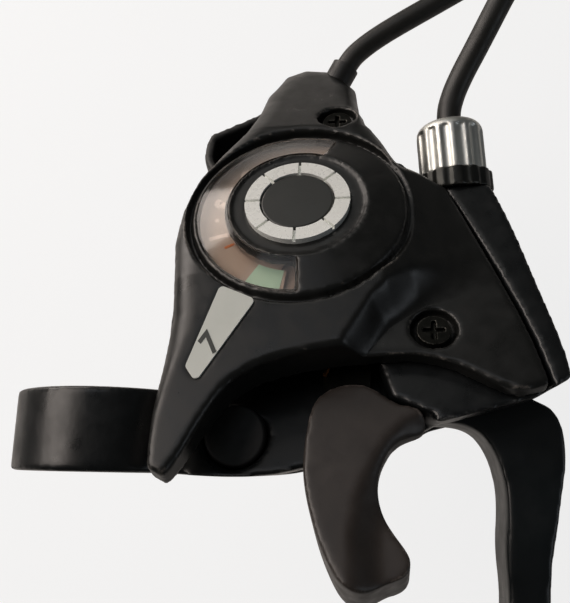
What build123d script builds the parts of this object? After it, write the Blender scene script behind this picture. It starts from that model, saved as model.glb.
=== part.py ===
"""A combined brake lever and seven-speed trigger shifter for a 22.2 mm handlebar.

Frame: the origin is the centre of the clamp bore. X runs along the handlebar, outboard
towards the grip. Y points forward, away from the rider. Z is up. Lengths are millimetres.

The shift unit lies in its own plane, tilted about Y so that it falls towards the stem.
Its coordinates are u (outboard), v (forward) and w (up, square to its dial).
"""
from build123d import *
from math import acos, atan2, cos, degrees, hypot, pi, radians, sin, tan
import os

# ---------------------------------------------------------------- driving dimensions
BAR_R = 11.1                # handlebar radius
CLAMP_CLEARANCE = 0.05      # clamp bore over the handlebar, on the radius
CLAMP_WALL = 4.2
CLAMP_WIDTH = 12.6
FIT = 0.05                  # running fit of a pin in its hole, on the radius
GAP = 0.3                   # gap between pieces that move past each other
SEAT = 0.02                 # gap between pieces that are fastened together

UNIT_TILT = 23.0            # the shift unit's plane against the handlebar
DRUM_U = -33.4              # axis of the cable drum and of the dial
DRUM_V = 31.4

ARM_TOP_W = 4.4             # top of the bracket's clamp arm
SHELF_W = 9.4               # top of the bracket under the cover
RIM_W = 12.3                # top of the bracket's front rim
COVER_BOTTOM_W = 9.7
COVER_TOP_W = 18.8
PLATE_TOP_W = 12.5
COVER_WALL = 1.8

LEVER_TOP_Z = -3.0          # brake lever, between the bracket's two flanges
LEVER_HEIGHT = 13.0
FLANGE = 2.6                # bracket's lower flange
PIVOT_X = -6.0              # brake lever pivot
PIVOT_Y = 35.0
PIVOT_R = 2.5
LEVER_BOSS_R = 6.4
NIPPLE_X = -13.0            # anchor of the brake cable in the lever
NIPPLE_Y = 62.0
NIPPLE_R = 3.0
LEVER_TIP_X = 86.0

BOLT_X = 0.4                # clamp bolt
BOLT_Y = 22.2
BOLT_R = 2.5
SLIT = 1.6

ADJUSTER_X = -45.0          # inboard face of the bracket's adjuster boss
ADJUSTER_Y = 59.1
ADJUSTER_Z = -11.5
ADJUSTER_RISE = 4.0         # the adjuster points up by this angle towards the stem
ADJUSTER_SWING = 3.5        # and back by this one
ADJUSTER_R = 6.2
ADJUSTER_LONG = 10.2
LOCK_RING_R = 7.1
LOCK_RING_LONG = 3.6
THREAD_R = 4.0
BRAKE_HOUSING_R = 2.25
SHIFT_HOUSING_R = 2.25
WIRE_R = 0.8
SHIFT_WIRE_R = 0.6

HOUSING_FLOOR_W = -6.0      # underside of the lower housing
HOUSING_TOP_W = 9.2
HOUSING_WALL = 1.8
BASE_PLATE_THICK = 1.2
DRUM_R = 10.3
DRUM_BOTTOM_W = 0.9
DRUM_TOP_W = 6.2
RATCHET_R = 8.0
AXLE_R = 2.5
SLEEVE_R = 4.0

DOME_R = 18.3
GROOVE_R = DOME_R + 1.1
COLLAR_R = 11.6
WINDOW_INNER_R = COLLAR_R + 0.3
WINDOW_OUTER_R = DOME_R - 0.8
WINDOW_START = 160.0        # measured from u towards v
WINDOW_SWEEP = 203.0
LENS_THICK = 1.2
DIAL_TOP_W = 15.2
DIAL_THICK = 0.8
CONE_LOW_W = DIAL_TOP_W + 2.8
CONE_HIGH_W = CONE_LOW_W + 1.8
COLLAR_W = CONE_HIGH_W - 0.6
RING_OUTER_R = 8.9
RING_INNER_R = 6.35
RING_TOP_W = COLLAR_W + 1.0
RING_SEGMENTS = 8
CAP_TOP_W = COLLAR_W + 0.8

TRIGGER_U = -18.5           # pivot of the release trigger
TRIGGER_V = 39.0
TRIGGER_TOP_W = 9.0
TRIGGER_LOW_W = -1.5
TRIGGER_ARM_W = 5.5
TRIGGER_ARM_THICK = 1.8
TRIGGER_PIN_R = 1.8

THUMB_TOP_Z = -25.6         # the thumb lever's arm passes under the bracket
THUMB_ARM_THICK = 2.4
THUMB_REACH = 37.0
THUMB_ANGLE = -52.0
THUMB_WIDE = 13.0
THUMB_PADDLE_DEEP = 11.0

UPPER_SCREW_U = -57.0
UPPER_SCREW_V = 37.3
LOWER_SCREW_U = -12.4
LOWER_SCREW_V = 53.2
SCREW_RECESS_R = 3.6
SCREW_HEAD_R = 2.7
SCREW_R = 1.4

# ---------------------------------------------------------------- frames and helpers
TILT = radians(UNIT_TILT)
U_DIR = Vector(cos(TILT), 0, sin(TILT))
V_DIR = Vector(0, 1, 0)
W_DIR = Vector(-sin(TILT), 0, cos(TILT))
UNIT = Plane(origin=(0, 0, 0), x_dir=U_DIR, z_dir=W_DIR)


def unit_point(u, v, w):
    """The point of the tilted unit frame, in the part's own frame."""
    return U_DIR * u + V_DIR * v + W_DIR * w


def dial_plane(angle):
    """A plane through the drum's axis: its x is the radius at this angle and its y is w."""
    radial = U_DIR * cos(radians(angle)) + V_DIR * sin(radians(angle))
    return Plane(origin=unit_point(DRUM_U, DRUM_V, 0), x_dir=radial, z_dir=radial.cross(W_DIR))


def on_unit(u, v, w):
    """The unit plane moved to a height, with its origin at a point."""
    return Plane(origin=unit_point(u, v, w), x_dir=U_DIR, z_dir=W_DIR)


def save(node):
    """Write one sub-part to its STEP file."""
    export_step(node.part, f"parts/{node.part.label}.step")


DRUM_AXIS = Axis(unit_point(DRUM_U, DRUM_V, 0), W_DIR)
CLAMP_BORE_R = BAR_R + CLAMP_CLEARANCE
CLAMP_R = CLAMP_BORE_R + CLAMP_WALL
LEVER_LOW_Z = LEVER_TOP_Z - LEVER_HEIGHT
LEVER_MID_Z = LEVER_TOP_Z - LEVER_HEIGHT / 2
SLOT_TOP_Z = LEVER_TOP_Z + GAP
SLOT_LOW_Z = LEVER_LOW_Z - GAP
BOTTOM_Z = SLOT_LOW_Z - FLANGE
FAR = 60.0

os.makedirs("parts", exist_ok=True)


# ---------------------------------------------------------------- cover outline
# u, v and, where the outline has a distinct corner, the corner's radius
FRONT_EDGE = ((-3.0, 69.2, 0.8), (-10.2, 67.8, 0), (-16.0, 66.2, 0), (-24.0, 63.6, 0), (-33.0, 60.3, 0),
              (-41.6, 56.9, 2.2))
COVER_POINTS = (
    (12.8, 14.6, 0.8), (9.2, 16.9, 0), (4.0, 19.3, 0), (-0.8, 22.3, 0), (-3.9, 26.6, 0), (-5.7, 32.0, 0),
    (-6.8, 38.0, 0), (-7.6, 44.5, 0), (-7.9, 51.0, 0), (-6.2, 56.4, 0), (-3.2, 61.2, 0), (-1.6, 64.8, 0),
    *FRONT_EDGE, (-45.2, 48.8, 0), (-51.4, 45.4, 0),
    (-58.0, 41.9, 0), (-65.6, 41.0, 0), (-71.5, 40.5, 2.2), (-79.6, 36.0, 2.2), (-81.0, 29.5, 2.2),
    (-78.4, 25.2, 2.2), (-70.0, 22.2, 0), (-62.0, 21.4, 0), (-54.4, 19.6, 0), (-48.5, 15.8, 0),
    (-42.0, 12.4, 0), (-34.0, 10.5, 0), (-27.0, 10.4, 0), (-20.0, 11.5, 0), (-12.0, 12.3, 0),
    (-4.0, 11.8, 0), (4.0, 11.4, 0), (11.4, 11.9, 0.9),
)


def cover_outline():
    """The cover seen square to its dial: the tail, the dome's flank, the plate and the cable boss."""
    spots = [Vector(u, v) for u, v, _ in COVER_POINTS]
    radii = []
    for index, (_, _, corner) in enumerate(COVER_POINTS):
        before = spots[index] - spots[index - 1]
        after = spots[(index + 1) % len(spots)] - spots[index]
        roundest = 0.45 * min(before.length, after.length) / tan(radians(before.get_angle(after)) / 2)
        radii.append(corner if corner else roundest)
    with BuildSketch(mode=Mode.PRIVATE) as sketch:
        with BuildLine():
            FilletPolyline(*spots, radius=radii, close=True)
        make_face()
    return sketch.sketch


COVER_OUTLINE = cover_outline()
TAIL_START_U = -19.0        # from here the top falls towards the tail's tip
TAIL_FALL = 9.5
BOSS_START_U = -54.0        # and from here towards the cable boss
BOSS_FALL = 13.0
FRONT_START_V = 45.5        # and from here towards the front plate
FRONT_FALL = 24.0
FRONT_END_V = FRONT_START_V + (COVER_TOP_W - PLATE_TOP_W) / tan(radians(FRONT_FALL))


def cover_form(inset, drop):
    """The cover as a solid, with its sides moved in by inset and its top surfaces down by drop."""
    low = COVER_BOTTOM_W - (1.0 if drop else 0.0)
    with BuildPart() as form:
        with BuildSketch(UNIT.offset(low)):
            add(COVER_OUTLINE)
            if inset:
                offset(amount=-inset, kind=Kind.INTERSECTION)
        extrude(amount=COVER_TOP_W - drop - low)
        tail = Plane(origin=unit_point(TAIL_START_U, 0, COVER_TOP_W - drop), x_dir=V_DIR,
                     z_dir=U_DIR * sin(radians(TAIL_FALL)) + W_DIR * cos(radians(TAIL_FALL)))
        boss = Plane(origin=unit_point(BOSS_START_U, 0, COVER_TOP_W - drop), x_dir=V_DIR,
                     z_dir=W_DIR * cos(radians(BOSS_FALL)) - U_DIR * sin(radians(BOSS_FALL)))
        for slope in (tail, boss):
            with BuildSketch(slope):
                Rectangle(4 * FAR, 4 * FAR)
            extrude(amount=FAR, mode=Mode.SUBTRACT)
        # the front slope ends on the front plate
        with BuildSketch(Plane(origin=unit_point(0, 0, 0), x_dir=V_DIR, z_dir=U_DIR)):
            with BuildLine():
                Polyline((FRONT_START_V, COVER_TOP_W - drop), (FRONT_END_V, PLATE_TOP_W - drop),
                         (2 * FAR, PLATE_TOP_W - drop), (2 * FAR, FAR), (FRONT_START_V, FAR), close=True)
            make_face()
        extrude(amount=2 * FAR, both=True, mode=Mode.SUBTRACT)
        with BuildSketch(UNIT.offset(PLATE_TOP_W - drop)):
            with BuildLine():
                Polyline((10.0, 43.0), (-8.0 - inset, 43.0 - inset), (-12.5 - inset, 46.5 - inset),
                         (-16.5 - inset, 52.0 - inset), (-19.0 - inset, FRONT_END_V - inset),
                         (-19.0, 75.0), (10.0, 75.0), close=True)
            make_face()
        extrude(amount=FAR, mode=Mode.SUBTRACT)
    return form.part


# ---------------------------------------------------------------- bracket and clamp
def bracket_outline():
    """The bracket seen from above: clamp arm, lever housing and front beam to the adjuster."""
    with BuildSketch(mode=Mode.PRIVATE) as sketch:
        with BuildLine():
            Spline((CLAMP_WIDTH / 2, BAR_R), (6.6, 17.5), (6.6, 24.0), (5.9, 30.0), (4.3, 36.0),
                   (2.4, 43.0), (0.4, 49.0), (-1.8, 53.4))
            Polyline((-1.8, 53.4), (-5.6, 67.6), (-8.4, 72.4))
            Spline((-8.4, 72.4), (-14.2, 71.8), (-22.0, 70.2), (-34.0, 67.7), (ADJUSTER_X, 64.6))
            Polyline((ADJUSTER_X, 64.6), (ADJUSTER_X, 53.6), (-40.0, 52.2), (-25.0, 51.8), (-20.0, 50.0),
                     (-14.4, 43.0), (-14.2, 26.0), (-11.0, 20.0), (-CLAMP_WIDTH / 2, 16.0),
                     (-CLAMP_WIDTH / 2, BAR_R), (CLAMP_WIDTH / 2, BAR_R))
        make_face()
    return sketch.sketch


ADJUSTER_DIR = Vector(-cos(radians(ADJUSTER_RISE)) * cos(radians(ADJUSTER_SWING)),
                      -cos(radians(ADJUSTER_RISE)) * sin(radians(ADJUSTER_SWING)),
                      sin(radians(ADJUSTER_RISE)))
ADJUSTER_BASE = Vector(ADJUSTER_X, ADJUSTER_Y, ADJUSTER_Z)


def on_adjuster(along):
    """A plane square to the adjuster's axis, this far beyond the bracket's boss."""
    return Plane(origin=ADJUSTER_BASE + ADJUSTER_DIR * along, x_dir=V_DIR, z_dir=ADJUSTER_DIR)


EDGE_GAP = 0.4              # between the cover's front edge and the bracket's rim
NIPPLE_TOP = Vector(NIPPLE_X, NIPPLE_Y, LEVER_MID_Z)
SOCKET_DEEP = 4.0
HOUSING_FACE = LOCK_RING_LONG + 0.2 + ADJUSTER_LONG - SOCKET_DEEP
WIRE_END = ADJUSTER_BASE + ADJUSTER_DIR * (HOUSING_FACE - GAP)
WIRE_DIR = (WIRE_END - NIPPLE_TOP).normalized()
WIRE_PLANE = Plane(origin=NIPPLE_TOP, x_dir=V_DIR, z_dir=WIRE_DIR)
COVER_SCREW_BITE = 5.6
FLANGE_U = -26.0            # the shift unit's flange on the bracket's front beam
FLANGE_V = 52.6
FLANGE_LONG = 17.0
FLANGE_WIDE = 7.0
FLANGE_LOW_W = 6.4
UNIT_SCREW_BITE = 5.5
UNIT_SCREWS = ((FLANGE_U - 5.5, FLANGE_V + 0.9), (FLANGE_U + 5.5, FLANGE_V + 0.9))
SLIT_TOP_Z = 0.0
REACH_X = -15.5             # the screw that sets the lever's rest
REACH_R = 2.0
REACH_Y = 69.0              # its tip, just clear of the lever
REACH_LONG = 3.8
PIVOT_TOP_Z = 0.0
NUT_SEAT_Z = 1.4
CAP_RECESS_Z = 3.7
CAP_RECESS_R = 5.3
CAP_R = 5.0
NUT_FLATS = 8.0
BOLT_HEAD_R = 4.3
BOLT_HEAD_LONG = 4.6
BEARING_R = PIVOT_R + 1.2   # bush round the lever's pivot pin
BOLT_PLAY = 0.2             # play of the clamp bolt in the bracket, on the radius
BOLT_SINK = 6.0             # the bolt's seat above the bracket's underside
BOLT_SEAT_Z = BOTTOM_Z + BOLT_SINK
BOSS_LONG = 9.0             # the round end of the front beam
THREAD_LONG = 8.0           # depth of the adjuster's threaded hole
BORE_R = 1.6                # passage of the brake wire

with BuildPart() as bracket:
    with BuildSketch(Plane.XY.offset(BOTTOM_Z)):
        add(bracket_outline())
    extrude(amount=FAR)
    with BuildSketch(on_adjuster(-BOSS_LONG)):
        Circle(LOCK_RING_R)
    extrude(amount=BOSS_LONG)
    with BuildSketch(on_adjuster(0.0)):
        Circle(2 * LOCK_RING_R)
    extrude(amount=BOSS_LONG, mode=Mode.SUBTRACT)
    with BuildSketch(UNIT.offset(RIM_W)):
        Rectangle(4 * FAR, 4 * FAR)
    extrude(amount=2 * FAR, mode=Mode.SUBTRACT)
    with BuildSketch(UNIT.offset(SHELF_W)):
        with BuildLine():
            Polyline((20.0, 69.2 + EDGE_GAP), *[(u, v + EDGE_GAP) for u, v, _ in FRONT_EDGE],
                     (-60.0, 52.0), (-60.0, 44.6), (20.0, 44.6), close=True)
        make_face()
    extrude(amount=FAR, mode=Mode.SUBTRACT)
    with BuildSketch(UNIT.offset(ARM_TOP_W)):
        with BuildLine():
            Polyline((20.0, 0.0), (20.0, 53.0), (0.6, 53.0), (-2.4, 46.6), (-8.6, 44.7),
                     (-30.0, 44.7), (-30.0, 0.0), close=True)
        make_face()
    extrude(amount=FAR, mode=Mode.SUBTRACT)
    with BuildSketch(Plane.YZ.offset(-CLAMP_WIDTH / 2)):
        Circle(CLAMP_R)
    extrude(amount=CLAMP_WIDTH)
    with BuildSketch(Plane.YZ):
        with BuildLine():
            Polyline((-FAR, BOTTOM_Z - 1.0), (-FAR, -CLAMP_R), (6.0, -CLAMP_R), (26.0, BOTTOM_Z),
                     (26.0, BOTTOM_Z - 1.0), close=True)
        make_face()
    extrude(amount=FAR, both=True, mode=Mode.SUBTRACT)
    with BuildSketch(Plane.YZ):
        Circle(CLAMP_BORE_R)
    extrude(amount=FAR, both=True, mode=Mode.SUBTRACT)
    # the slot that the lever turns in, open towards the grip
    with BuildSketch(Plane.XY.offset(SLOT_LOW_Z)):
        with BuildLine():
            Polyline((20.0, 28.0), (-6.0, 28.0))
            ThreePointArc((-6.0, 28.0), (-11.0, 30.1), (-13.0, 35.0))
            Polyline((-13.0, 35.0), (-20.4, 54.0), (-20.4, 66.4), (-5.0, 69.6), (20.0, 76.0), (20.0, 28.0))
        make_face()
    extrude(amount=SLOT_TOP_Z - SLOT_LOW_Z, mode=Mode.SUBTRACT)
    # pivot holes, clamp slit, bolt, nut and cap
    with BuildSketch(Plane.XY.offset(BOTTOM_Z - 1.0)):
        with Locations((PIVOT_X, PIVOT_Y)):
            Circle(PIVOT_R + FIT)
    extrude(amount=PIVOT_TOP_Z + GAP - BOTTOM_Z + 1.0, mode=Mode.SUBTRACT)
    with BuildSketch(Plane.XY.offset(BOTTOM_Z - 1.0)):
        with Locations((BOLT_X, BOLT_Y)):
            Circle(BOLT_R + BOLT_PLAY)
    extrude(amount=FAR, mode=Mode.SUBTRACT)
    with BuildSketch(Plane.XY.offset(SLIT_TOP_Z - SLIT)):
        with Locations((0.0, BAR_R / 2 + 13.5)):
            Rectangle(4 * CLAMP_WIDTH, 27.0 - BAR_R)
    extrude(amount=SLIT, mode=Mode.SUBTRACT)
    with BuildSketch(Plane.XY.offset(NUT_SEAT_Z)):
        with Locations((BOLT_X, BOLT_Y)):
            RegularPolygon(NUT_FLATS / 2 + SEAT, 6, major_radius=False)
    extrude(amount=FAR, mode=Mode.SUBTRACT)
    with BuildSketch(Plane.XY.offset(CAP_RECESS_Z)):
        with Locations((BOLT_X, BOLT_Y)):
            Circle(CAP_RECESS_R)
    extrude(amount=FAR, mode=Mode.SUBTRACT)
    with BuildSketch(Plane.XY.offset(-FAR)):
        with Locations((BOLT_X, BOLT_Y)):
            Circle(BOLT_HEAD_R)
    extrude(amount=FAR + BOLT_SEAT_Z, mode=Mode.SUBTRACT)
    # the adjuster's threaded hole and the wire's passage
    with BuildSketch(on_adjuster(-THREAD_LONG)):
        Circle(THREAD_R + FIT)
    extrude(amount=THREAD_LONG + 1.0, mode=Mode.SUBTRACT)
    with BuildSketch(WIRE_PLANE):
        Circle(BORE_R)
    extrude(amount=FAR / 2, mode=Mode.SUBTRACT)
    # holes for the reach screw, the lower cover screw and the two unit screws
    with BuildSketch(Plane.XZ.offset(-FAR - 20.0)):
        with Locations((REACH_X, LEVER_MID_Z)):
            Circle(REACH_R + FIT)
    extrude(amount=20.0, mode=Mode.SUBTRACT)
    with BuildSketch(on_unit(LOWER_SCREW_U, LOWER_SCREW_V, SHELF_W - COVER_SCREW_BITE)):
        Circle(SCREW_R + SEAT)
    extrude(amount=FAR, mode=Mode.SUBTRACT)
    # the seat of the shift unit's flange, with its two screw holes
    with BuildSketch(UNIT.offset(FLANGE_LOW_W - SEAT)):
        with Locations((FLANGE_U, FLANGE_V - 0.5)):
            Rectangle(FLANGE_LONG + 2 * GAP, FLANGE_WIDE + 2 * GAP + 1.0)
    extrude(amount=FAR, mode=Mode.SUBTRACT)
    with BuildSketch(UNIT.offset(FLANGE_LOW_W - UNIT_SCREW_BITE)):
        with Locations(*UNIT_SCREWS):
            Circle(SCREW_R + SEAT)
    extrude(amount=FAR, mode=Mode.SUBTRACT)
bracket.part.label = "bracket"

with BuildPart() as clamp_bolt:
    with BuildSketch(Plane.XY.offset(BOLT_SEAT_Z - BOLT_HEAD_LONG)):
        with Locations((BOLT_X, BOLT_Y)):
            Circle(BOLT_HEAD_R - BOLT_PLAY)
    extrude(amount=BOLT_HEAD_LONG - SEAT)
    with BuildSketch(Plane.XY.offset(BOLT_SEAT_Z - 2 * SEAT)):
        with Locations((BOLT_X, BOLT_Y)):
            Circle(BOLT_R)
    extrude(amount=CAP_RECESS_Z + 1.0 - BOLT_SEAT_Z)
    with BuildSketch(Plane.XY.offset(BOLT_SEAT_Z - BOLT_HEAD_LONG)):
        with Locations((BOLT_X, BOLT_Y)):
            RegularPolygon(2.0, 6, major_radius=False)
    extrude(amount=2.6, mode=Mode.SUBTRACT)
clamp_bolt.part.label = "clamp_bolt"

with BuildPart() as clamp_nut:
    with BuildSketch(Plane.XY.offset(NUT_SEAT_Z + SEAT)):
        with Locations((BOLT_X, BOLT_Y)):
            RegularPolygon(NUT_FLATS / 2, 6, major_radius=False)
            Circle(BOLT_R + SEAT, mode=Mode.SUBTRACT)
    extrude(amount=CAP_RECESS_Z - NUT_SEAT_Z)
clamp_nut.part.label = "clamp_nut"

with BuildPart() as bolt_cap:
    with BuildSketch(Plane.XY.offset(CAP_RECESS_Z + 2 * SEAT)):
        with Locations((BOLT_X, BOLT_Y)):
            Circle(CAP_R)
    extrude(amount=1.9)
    chamfer(bolt_cap.faces().sort_by(Axis.Z)[-1].edges(), length=0.4)
    with BuildSketch(Plane.XY.offset(CAP_RECESS_Z)):
        with Locations((BOLT_X, BOLT_Y)):
            Circle(BOLT_R + SEAT)
    extrude(amount=1.0 + 3 * SEAT, mode=Mode.SUBTRACT)
bolt_cap.part.label = "bolt_cap"

# ---------------------------------------------------------------- brake lever
TIP_BALL_R = 6.5
BLADE_HEIGHT = 9.4
with BuildPart() as brake_lever:
    with BuildSketch(Plane.XY.offset(LEVER_LOW_Z)):
        with BuildLine():
            Spline((-17.9, 60.4), (-18.2, 62.4), (-17.2, 65.4), (-14.4, 67.2), (-9.8, 67.9), (-6.8, 68.6))
            Polyline((-6.8, 68.6), (-5.8, 70.8))
            Spline((-5.8, 70.8), (-4.6, 72.4), (-2.2, 73.5), (0.6, 73.9), (4.0, 73.7), (9.1, 72.7),
                   (15.0, 71.6), (19.4, 70.7), (24.0, 70.4), (30.0, 69.7), (45.0, 69.1), (60.0, 69.6),
                   (74.0, 71.6), (LEVER_TIP_X - 4.0, 74.2))
            Polyline((LEVER_TIP_X - 4.0, 74.2), (LEVER_TIP_X - 4.0, 68.6))
            Spline((LEVER_TIP_X - 4.0, 68.6), (74.0, 65.0), (60.0, 62.5), (45.0, 62.1), (35.0, 62.8),
                   (24.4, 64.0), (16.8, 63.8), (9.9, 64.3), (5.4, 63.8), (1.4, 62.4), (-1.1, 60.4),
                   (-2.5, 55.0), (-1.6, 48.0), (0.0, 40.0))
            ThreePointArc((0.0, 40.0), (PIVOT_X + 0.6, PIVOT_Y - LEVER_BOSS_R), (-12.2, 36.6))
            Polyline((-12.2, 36.6), (-14.6, 48.0), (-17.9, 60.4))
        make_face()
    extrude(amount=LEVER_HEIGHT)
    with BuildSketch(Plane.XZ.offset(-2 * FAR)):
        with BuildLine():
            Polyline((14.0, LEVER_TOP_Z + 1.0), (14.0, LEVER_TOP_Z), (40.0, LEVER_MID_Z + BLADE_HEIGHT / 2),
                     (2 * FAR, LEVER_MID_Z + BLADE_HEIGHT / 2), (2 * FAR, LEVER_TOP_Z + 1.0), close=True)
        make_face()
        with BuildLine():
            Polyline((14.0, LEVER_LOW_Z - 1.0), (14.0, LEVER_LOW_Z), (40.0, LEVER_MID_Z - BLADE_HEIGHT / 2),
                     (2 * FAR, LEVER_MID_Z - BLADE_HEIGHT / 2), (2 * FAR, LEVER_LOW_Z - 1.0), close=True)
        make_face()
    extrude(amount=2 * FAR, mode=Mode.SUBTRACT)
    with BuildSketch(Plane.XY.offset(LEVER_LOW_Z)):
        with Locations((PIVOT_X, PIVOT_Y)):
            Circle(BEARING_R)
        with Locations((NIPPLE_X, NIPPLE_Y)):
            Circle(NIPPLE_R + FIT)
    extrude(amount=LEVER_HEIGHT, mode=Mode.SUBTRACT)
    # the gap that the wire leaves by
    with BuildSketch(Plane.XY.offset(LEVER_MID_Z - 1.5)):
        with Locations((NIPPLE_X - 5.0, NIPPLE_Y)):
            Rectangle(10.0, 16.0)
    extrude(amount=3.0, mode=Mode.SUBTRACT)
    with Locations((LEVER_TIP_X - TIP_BALL_R + 0.5, 71.2, LEVER_MID_Z)):
        Sphere(TIP_BALL_R - 0.5)
brake_lever.part.label = "brake_lever"

BUSH_LONG = 4.0
with BuildPart() as pivot_bushes:
    for low in (LEVER_LOW_Z, LEVER_TOP_Z - BUSH_LONG):
        with BuildSketch(Plane.XY.offset(low)):
            with Locations((PIVOT_X, PIVOT_Y)):
                Circle(BEARING_R - SEAT)
                Circle(PIVOT_R + FIT, mode=Mode.SUBTRACT)
        extrude(amount=BUSH_LONG)
pivot_bushes.part.label = "pivot_bushes"

PIN_HEAD_HIGH = 1.2
with BuildPart() as lever_pivot_pin:
    with BuildSketch(Plane.XY.offset(BOTTOM_Z - PIN_HEAD_HIGH)):
        with Locations((PIVOT_X, PIVOT_Y)):
            Circle(PIVOT_R)
    extrude(amount=PIVOT_TOP_Z - BOTTOM_Z + PIN_HEAD_HIGH)
    with BuildSketch(Plane.XY.offset(BOTTOM_Z - PIN_HEAD_HIGH)):
        with Locations((PIVOT_X, PIVOT_Y)):
            Circle(PIVOT_R + 1.3)
    extrude(amount=PIN_HEAD_HIGH - SEAT)
lever_pivot_pin.part.label = "lever_pivot_pin"

NIPPLE_HIGH = 8.0
with BuildPart() as brake_nipple:
    with BuildSketch(Plane.XY.offset(LEVER_MID_Z - NIPPLE_HIGH / 2)):
        with Locations((NIPPLE_X, NIPPLE_Y)):
            Circle(NIPPLE_R)
    extrude(amount=NIPPLE_HIGH)
brake_nipple.part.label = "brake_nipple"

with BuildPart() as reach_screw:
    with BuildSketch(Plane.XZ.offset(-REACH_Y)):
        with Locations((REACH_X, LEVER_MID_Z)):
            Circle(REACH_R)
    extrude(amount=-REACH_LONG)
    with BuildSketch(Plane.XZ.offset(-REACH_Y - REACH_LONG)):
        with Locations((REACH_X, LEVER_MID_Z)):
            RegularPolygon(1.0, 6, major_radius=False)
    extrude(amount=1.8, mode=Mode.SUBTRACT)
reach_screw.part.label = "reach_screw"

# ---------------------------------------------------------------- cable adjuster
FUNNEL_R = 2.8              # the passage widens towards the lever
FLUTES = 14
FLUTE_R = 1.3
with BuildPart() as barrel_adjuster:
    with BuildSketch(on_adjuster(LOCK_RING_LONG + 0.2)):
        Circle(ADJUSTER_R)
    extrude(amount=ADJUSTER_LONG)
    fillet(barrel_adjuster.edges().sort_by(lambda e: (e.center() - ADJUSTER_BASE).dot(ADJUSTER_DIR))[-1:],
           radius=2.2)
    with BuildSketch(on_adjuster(LOCK_RING_LONG)):
        with PolarLocations(ADJUSTER_R + 0.8, FLUTES):
            Circle(FLUTE_R)
    extrude(amount=ADJUSTER_LONG - 1.6, mode=Mode.SUBTRACT)
    with BuildSketch(on_adjuster(1.0 - THREAD_LONG)):
        Circle(THREAD_R)
    extrude(amount=THREAD_LONG + LOCK_RING_LONG)
    with BuildSketch(on_adjuster(LOCK_RING_LONG + 0.2 + ADJUSTER_LONG)):
        Circle(BRAKE_HOUSING_R + SEAT)
    extrude(amount=-SOCKET_DEEP, mode=Mode.SUBTRACT)
    with BuildSketch(on_adjuster(-THREAD_LONG)):
        Circle(BORE_R)
    extrude(amount=FAR / 2, mode=Mode.SUBTRACT)
    with BuildSketch(on_adjuster(-THREAD_LONG)):
        Circle(FUNNEL_R)
    extrude(amount=THREAD_LONG + LOCK_RING_LONG, mode=Mode.SUBTRACT)
barrel_adjuster.part.label = "barrel_adjuster"

with BuildPart() as adjuster_lock_ring:
    with BuildSketch(on_adjuster(0.1)):
        Circle(LOCK_RING_R)
        with PolarLocations(LOCK_RING_R + 1.0, FLUTES):
            Circle(FLUTE_R, mode=Mode.SUBTRACT)
        Circle(THREAD_R + FIT, mode=Mode.SUBTRACT)
    extrude(amount=LOCK_RING_LONG)
adjuster_lock_ring.part.label = "adjuster_lock_ring"

# ---------------------------------------------------------------- lower housing of the shift unit
HOUSING_EDGE_X = -14.8      # the housing stops short of the bracket's arm
FLOOR_TOP_W = HOUSING_FLOOR_W + HOUSING_WALL
BASE_LOW_W = FLOOR_TOP_W + SEAT
BASE_TOP_W = BASE_LOW_W + BASE_PLATE_THICK
DRIVE_LOW_W = BASE_TOP_W + 0.35
DRIVE_TOP_W = DRIVE_LOW_W + 1.2
PAWL_LOW_W = DRIVE_TOP_W + GAP
PAWL_TOP_W = DRUM_BOTTOM_W - GAP
RETAINER_LOW_W = 9.4
RETAINER_TOP_W = 10.6
POST_R = 1.8                # the thumb lever's drive post
POST_ARC_R = 13.0
POST_ANGLE = 200.0
THUMB_SWING = 30.0
HUB_R = 5.0
UPPER_BOSS_R = 3.6
UPPER_NECK_R = 2.5          # the boss goes on into the cover's screw post with this radius
UPPER_SEAT_W = 11.6
FERRULE_U = -79.2
FERRULE_V = 37.6
FERRULE_W = 11.9


FERRULE_DIR = (U_DIR * -0.724 + V_DIR * 0.5 + W_DIR * 0.47).normalized()
FERRULE_R = 2.9
FERRULE_BACK = 6.0          # how far the ferrule reaches into the cover
FERRULE_PLANE = Plane(origin=unit_point(FERRULE_U, FERRULE_V, FERRULE_W) - FERRULE_DIR * FERRULE_BACK,
                      x_dir=W_DIR, z_dir=FERRULE_DIR)
STUB_R = 1.2
STANDOFF_R = 2.2
PAWL_PIN_R = 1.3
PAWL_BOSS_R = 2.2
HOLD_PIN_U = -21.6          # pivot of the pawl that holds the drum
HOLD_PIN_V = 27.5
STANDOFFS = ((-16.1, 9.4), (5.9, -13.4))    # from the drum's axis


def housing_outline(inset):
    """The lower housing seen square to the dial, with its sides moved in by inset."""
    with BuildSketch(mode=Mode.PRIVATE) as sketch:
        with BuildLine():
            Polyline((-10.0, 13.5), (-10.0, 48.0), (-22.0, 50.4), (-45.0, 50.4), (-58.0, 42.6), (-70.0, 41.0),
                     (-78.5, 36.6), (-79.0, 27.0), (-70.0, 19.5), (-64.0, 9.6), (-57.0, 9.6), (-48.0, 14.0),
                     (-30.0, 13.5), close=True)
        make_face()
        fillet(sketch.vertices(), radius=2.4)
        if inset:
            offset(amount=-inset, kind=Kind.ARC)
    return sketch.sketch


def bracket_side(back):
    """What lies on the bracket's side of the housing's edge, moved back by a wall."""
    with BuildPart() as side:
        with BuildSketch(Plane.XY.offset(-FAR)):
            with BuildLine():
                Polyline((HOUSING_EDGE_X - back, -FAR), (HOUSING_EDGE_X - back, 41.5 - 0.4 * back),
                         (-22.4 - back, 51.4 - 0.4 * back), (-22.4 - back, FAR), (FAR, FAR), (FAR, -FAR),
                         close=True)
            make_face()
        extrude(amount=2 * FAR)
    return side.part


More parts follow.
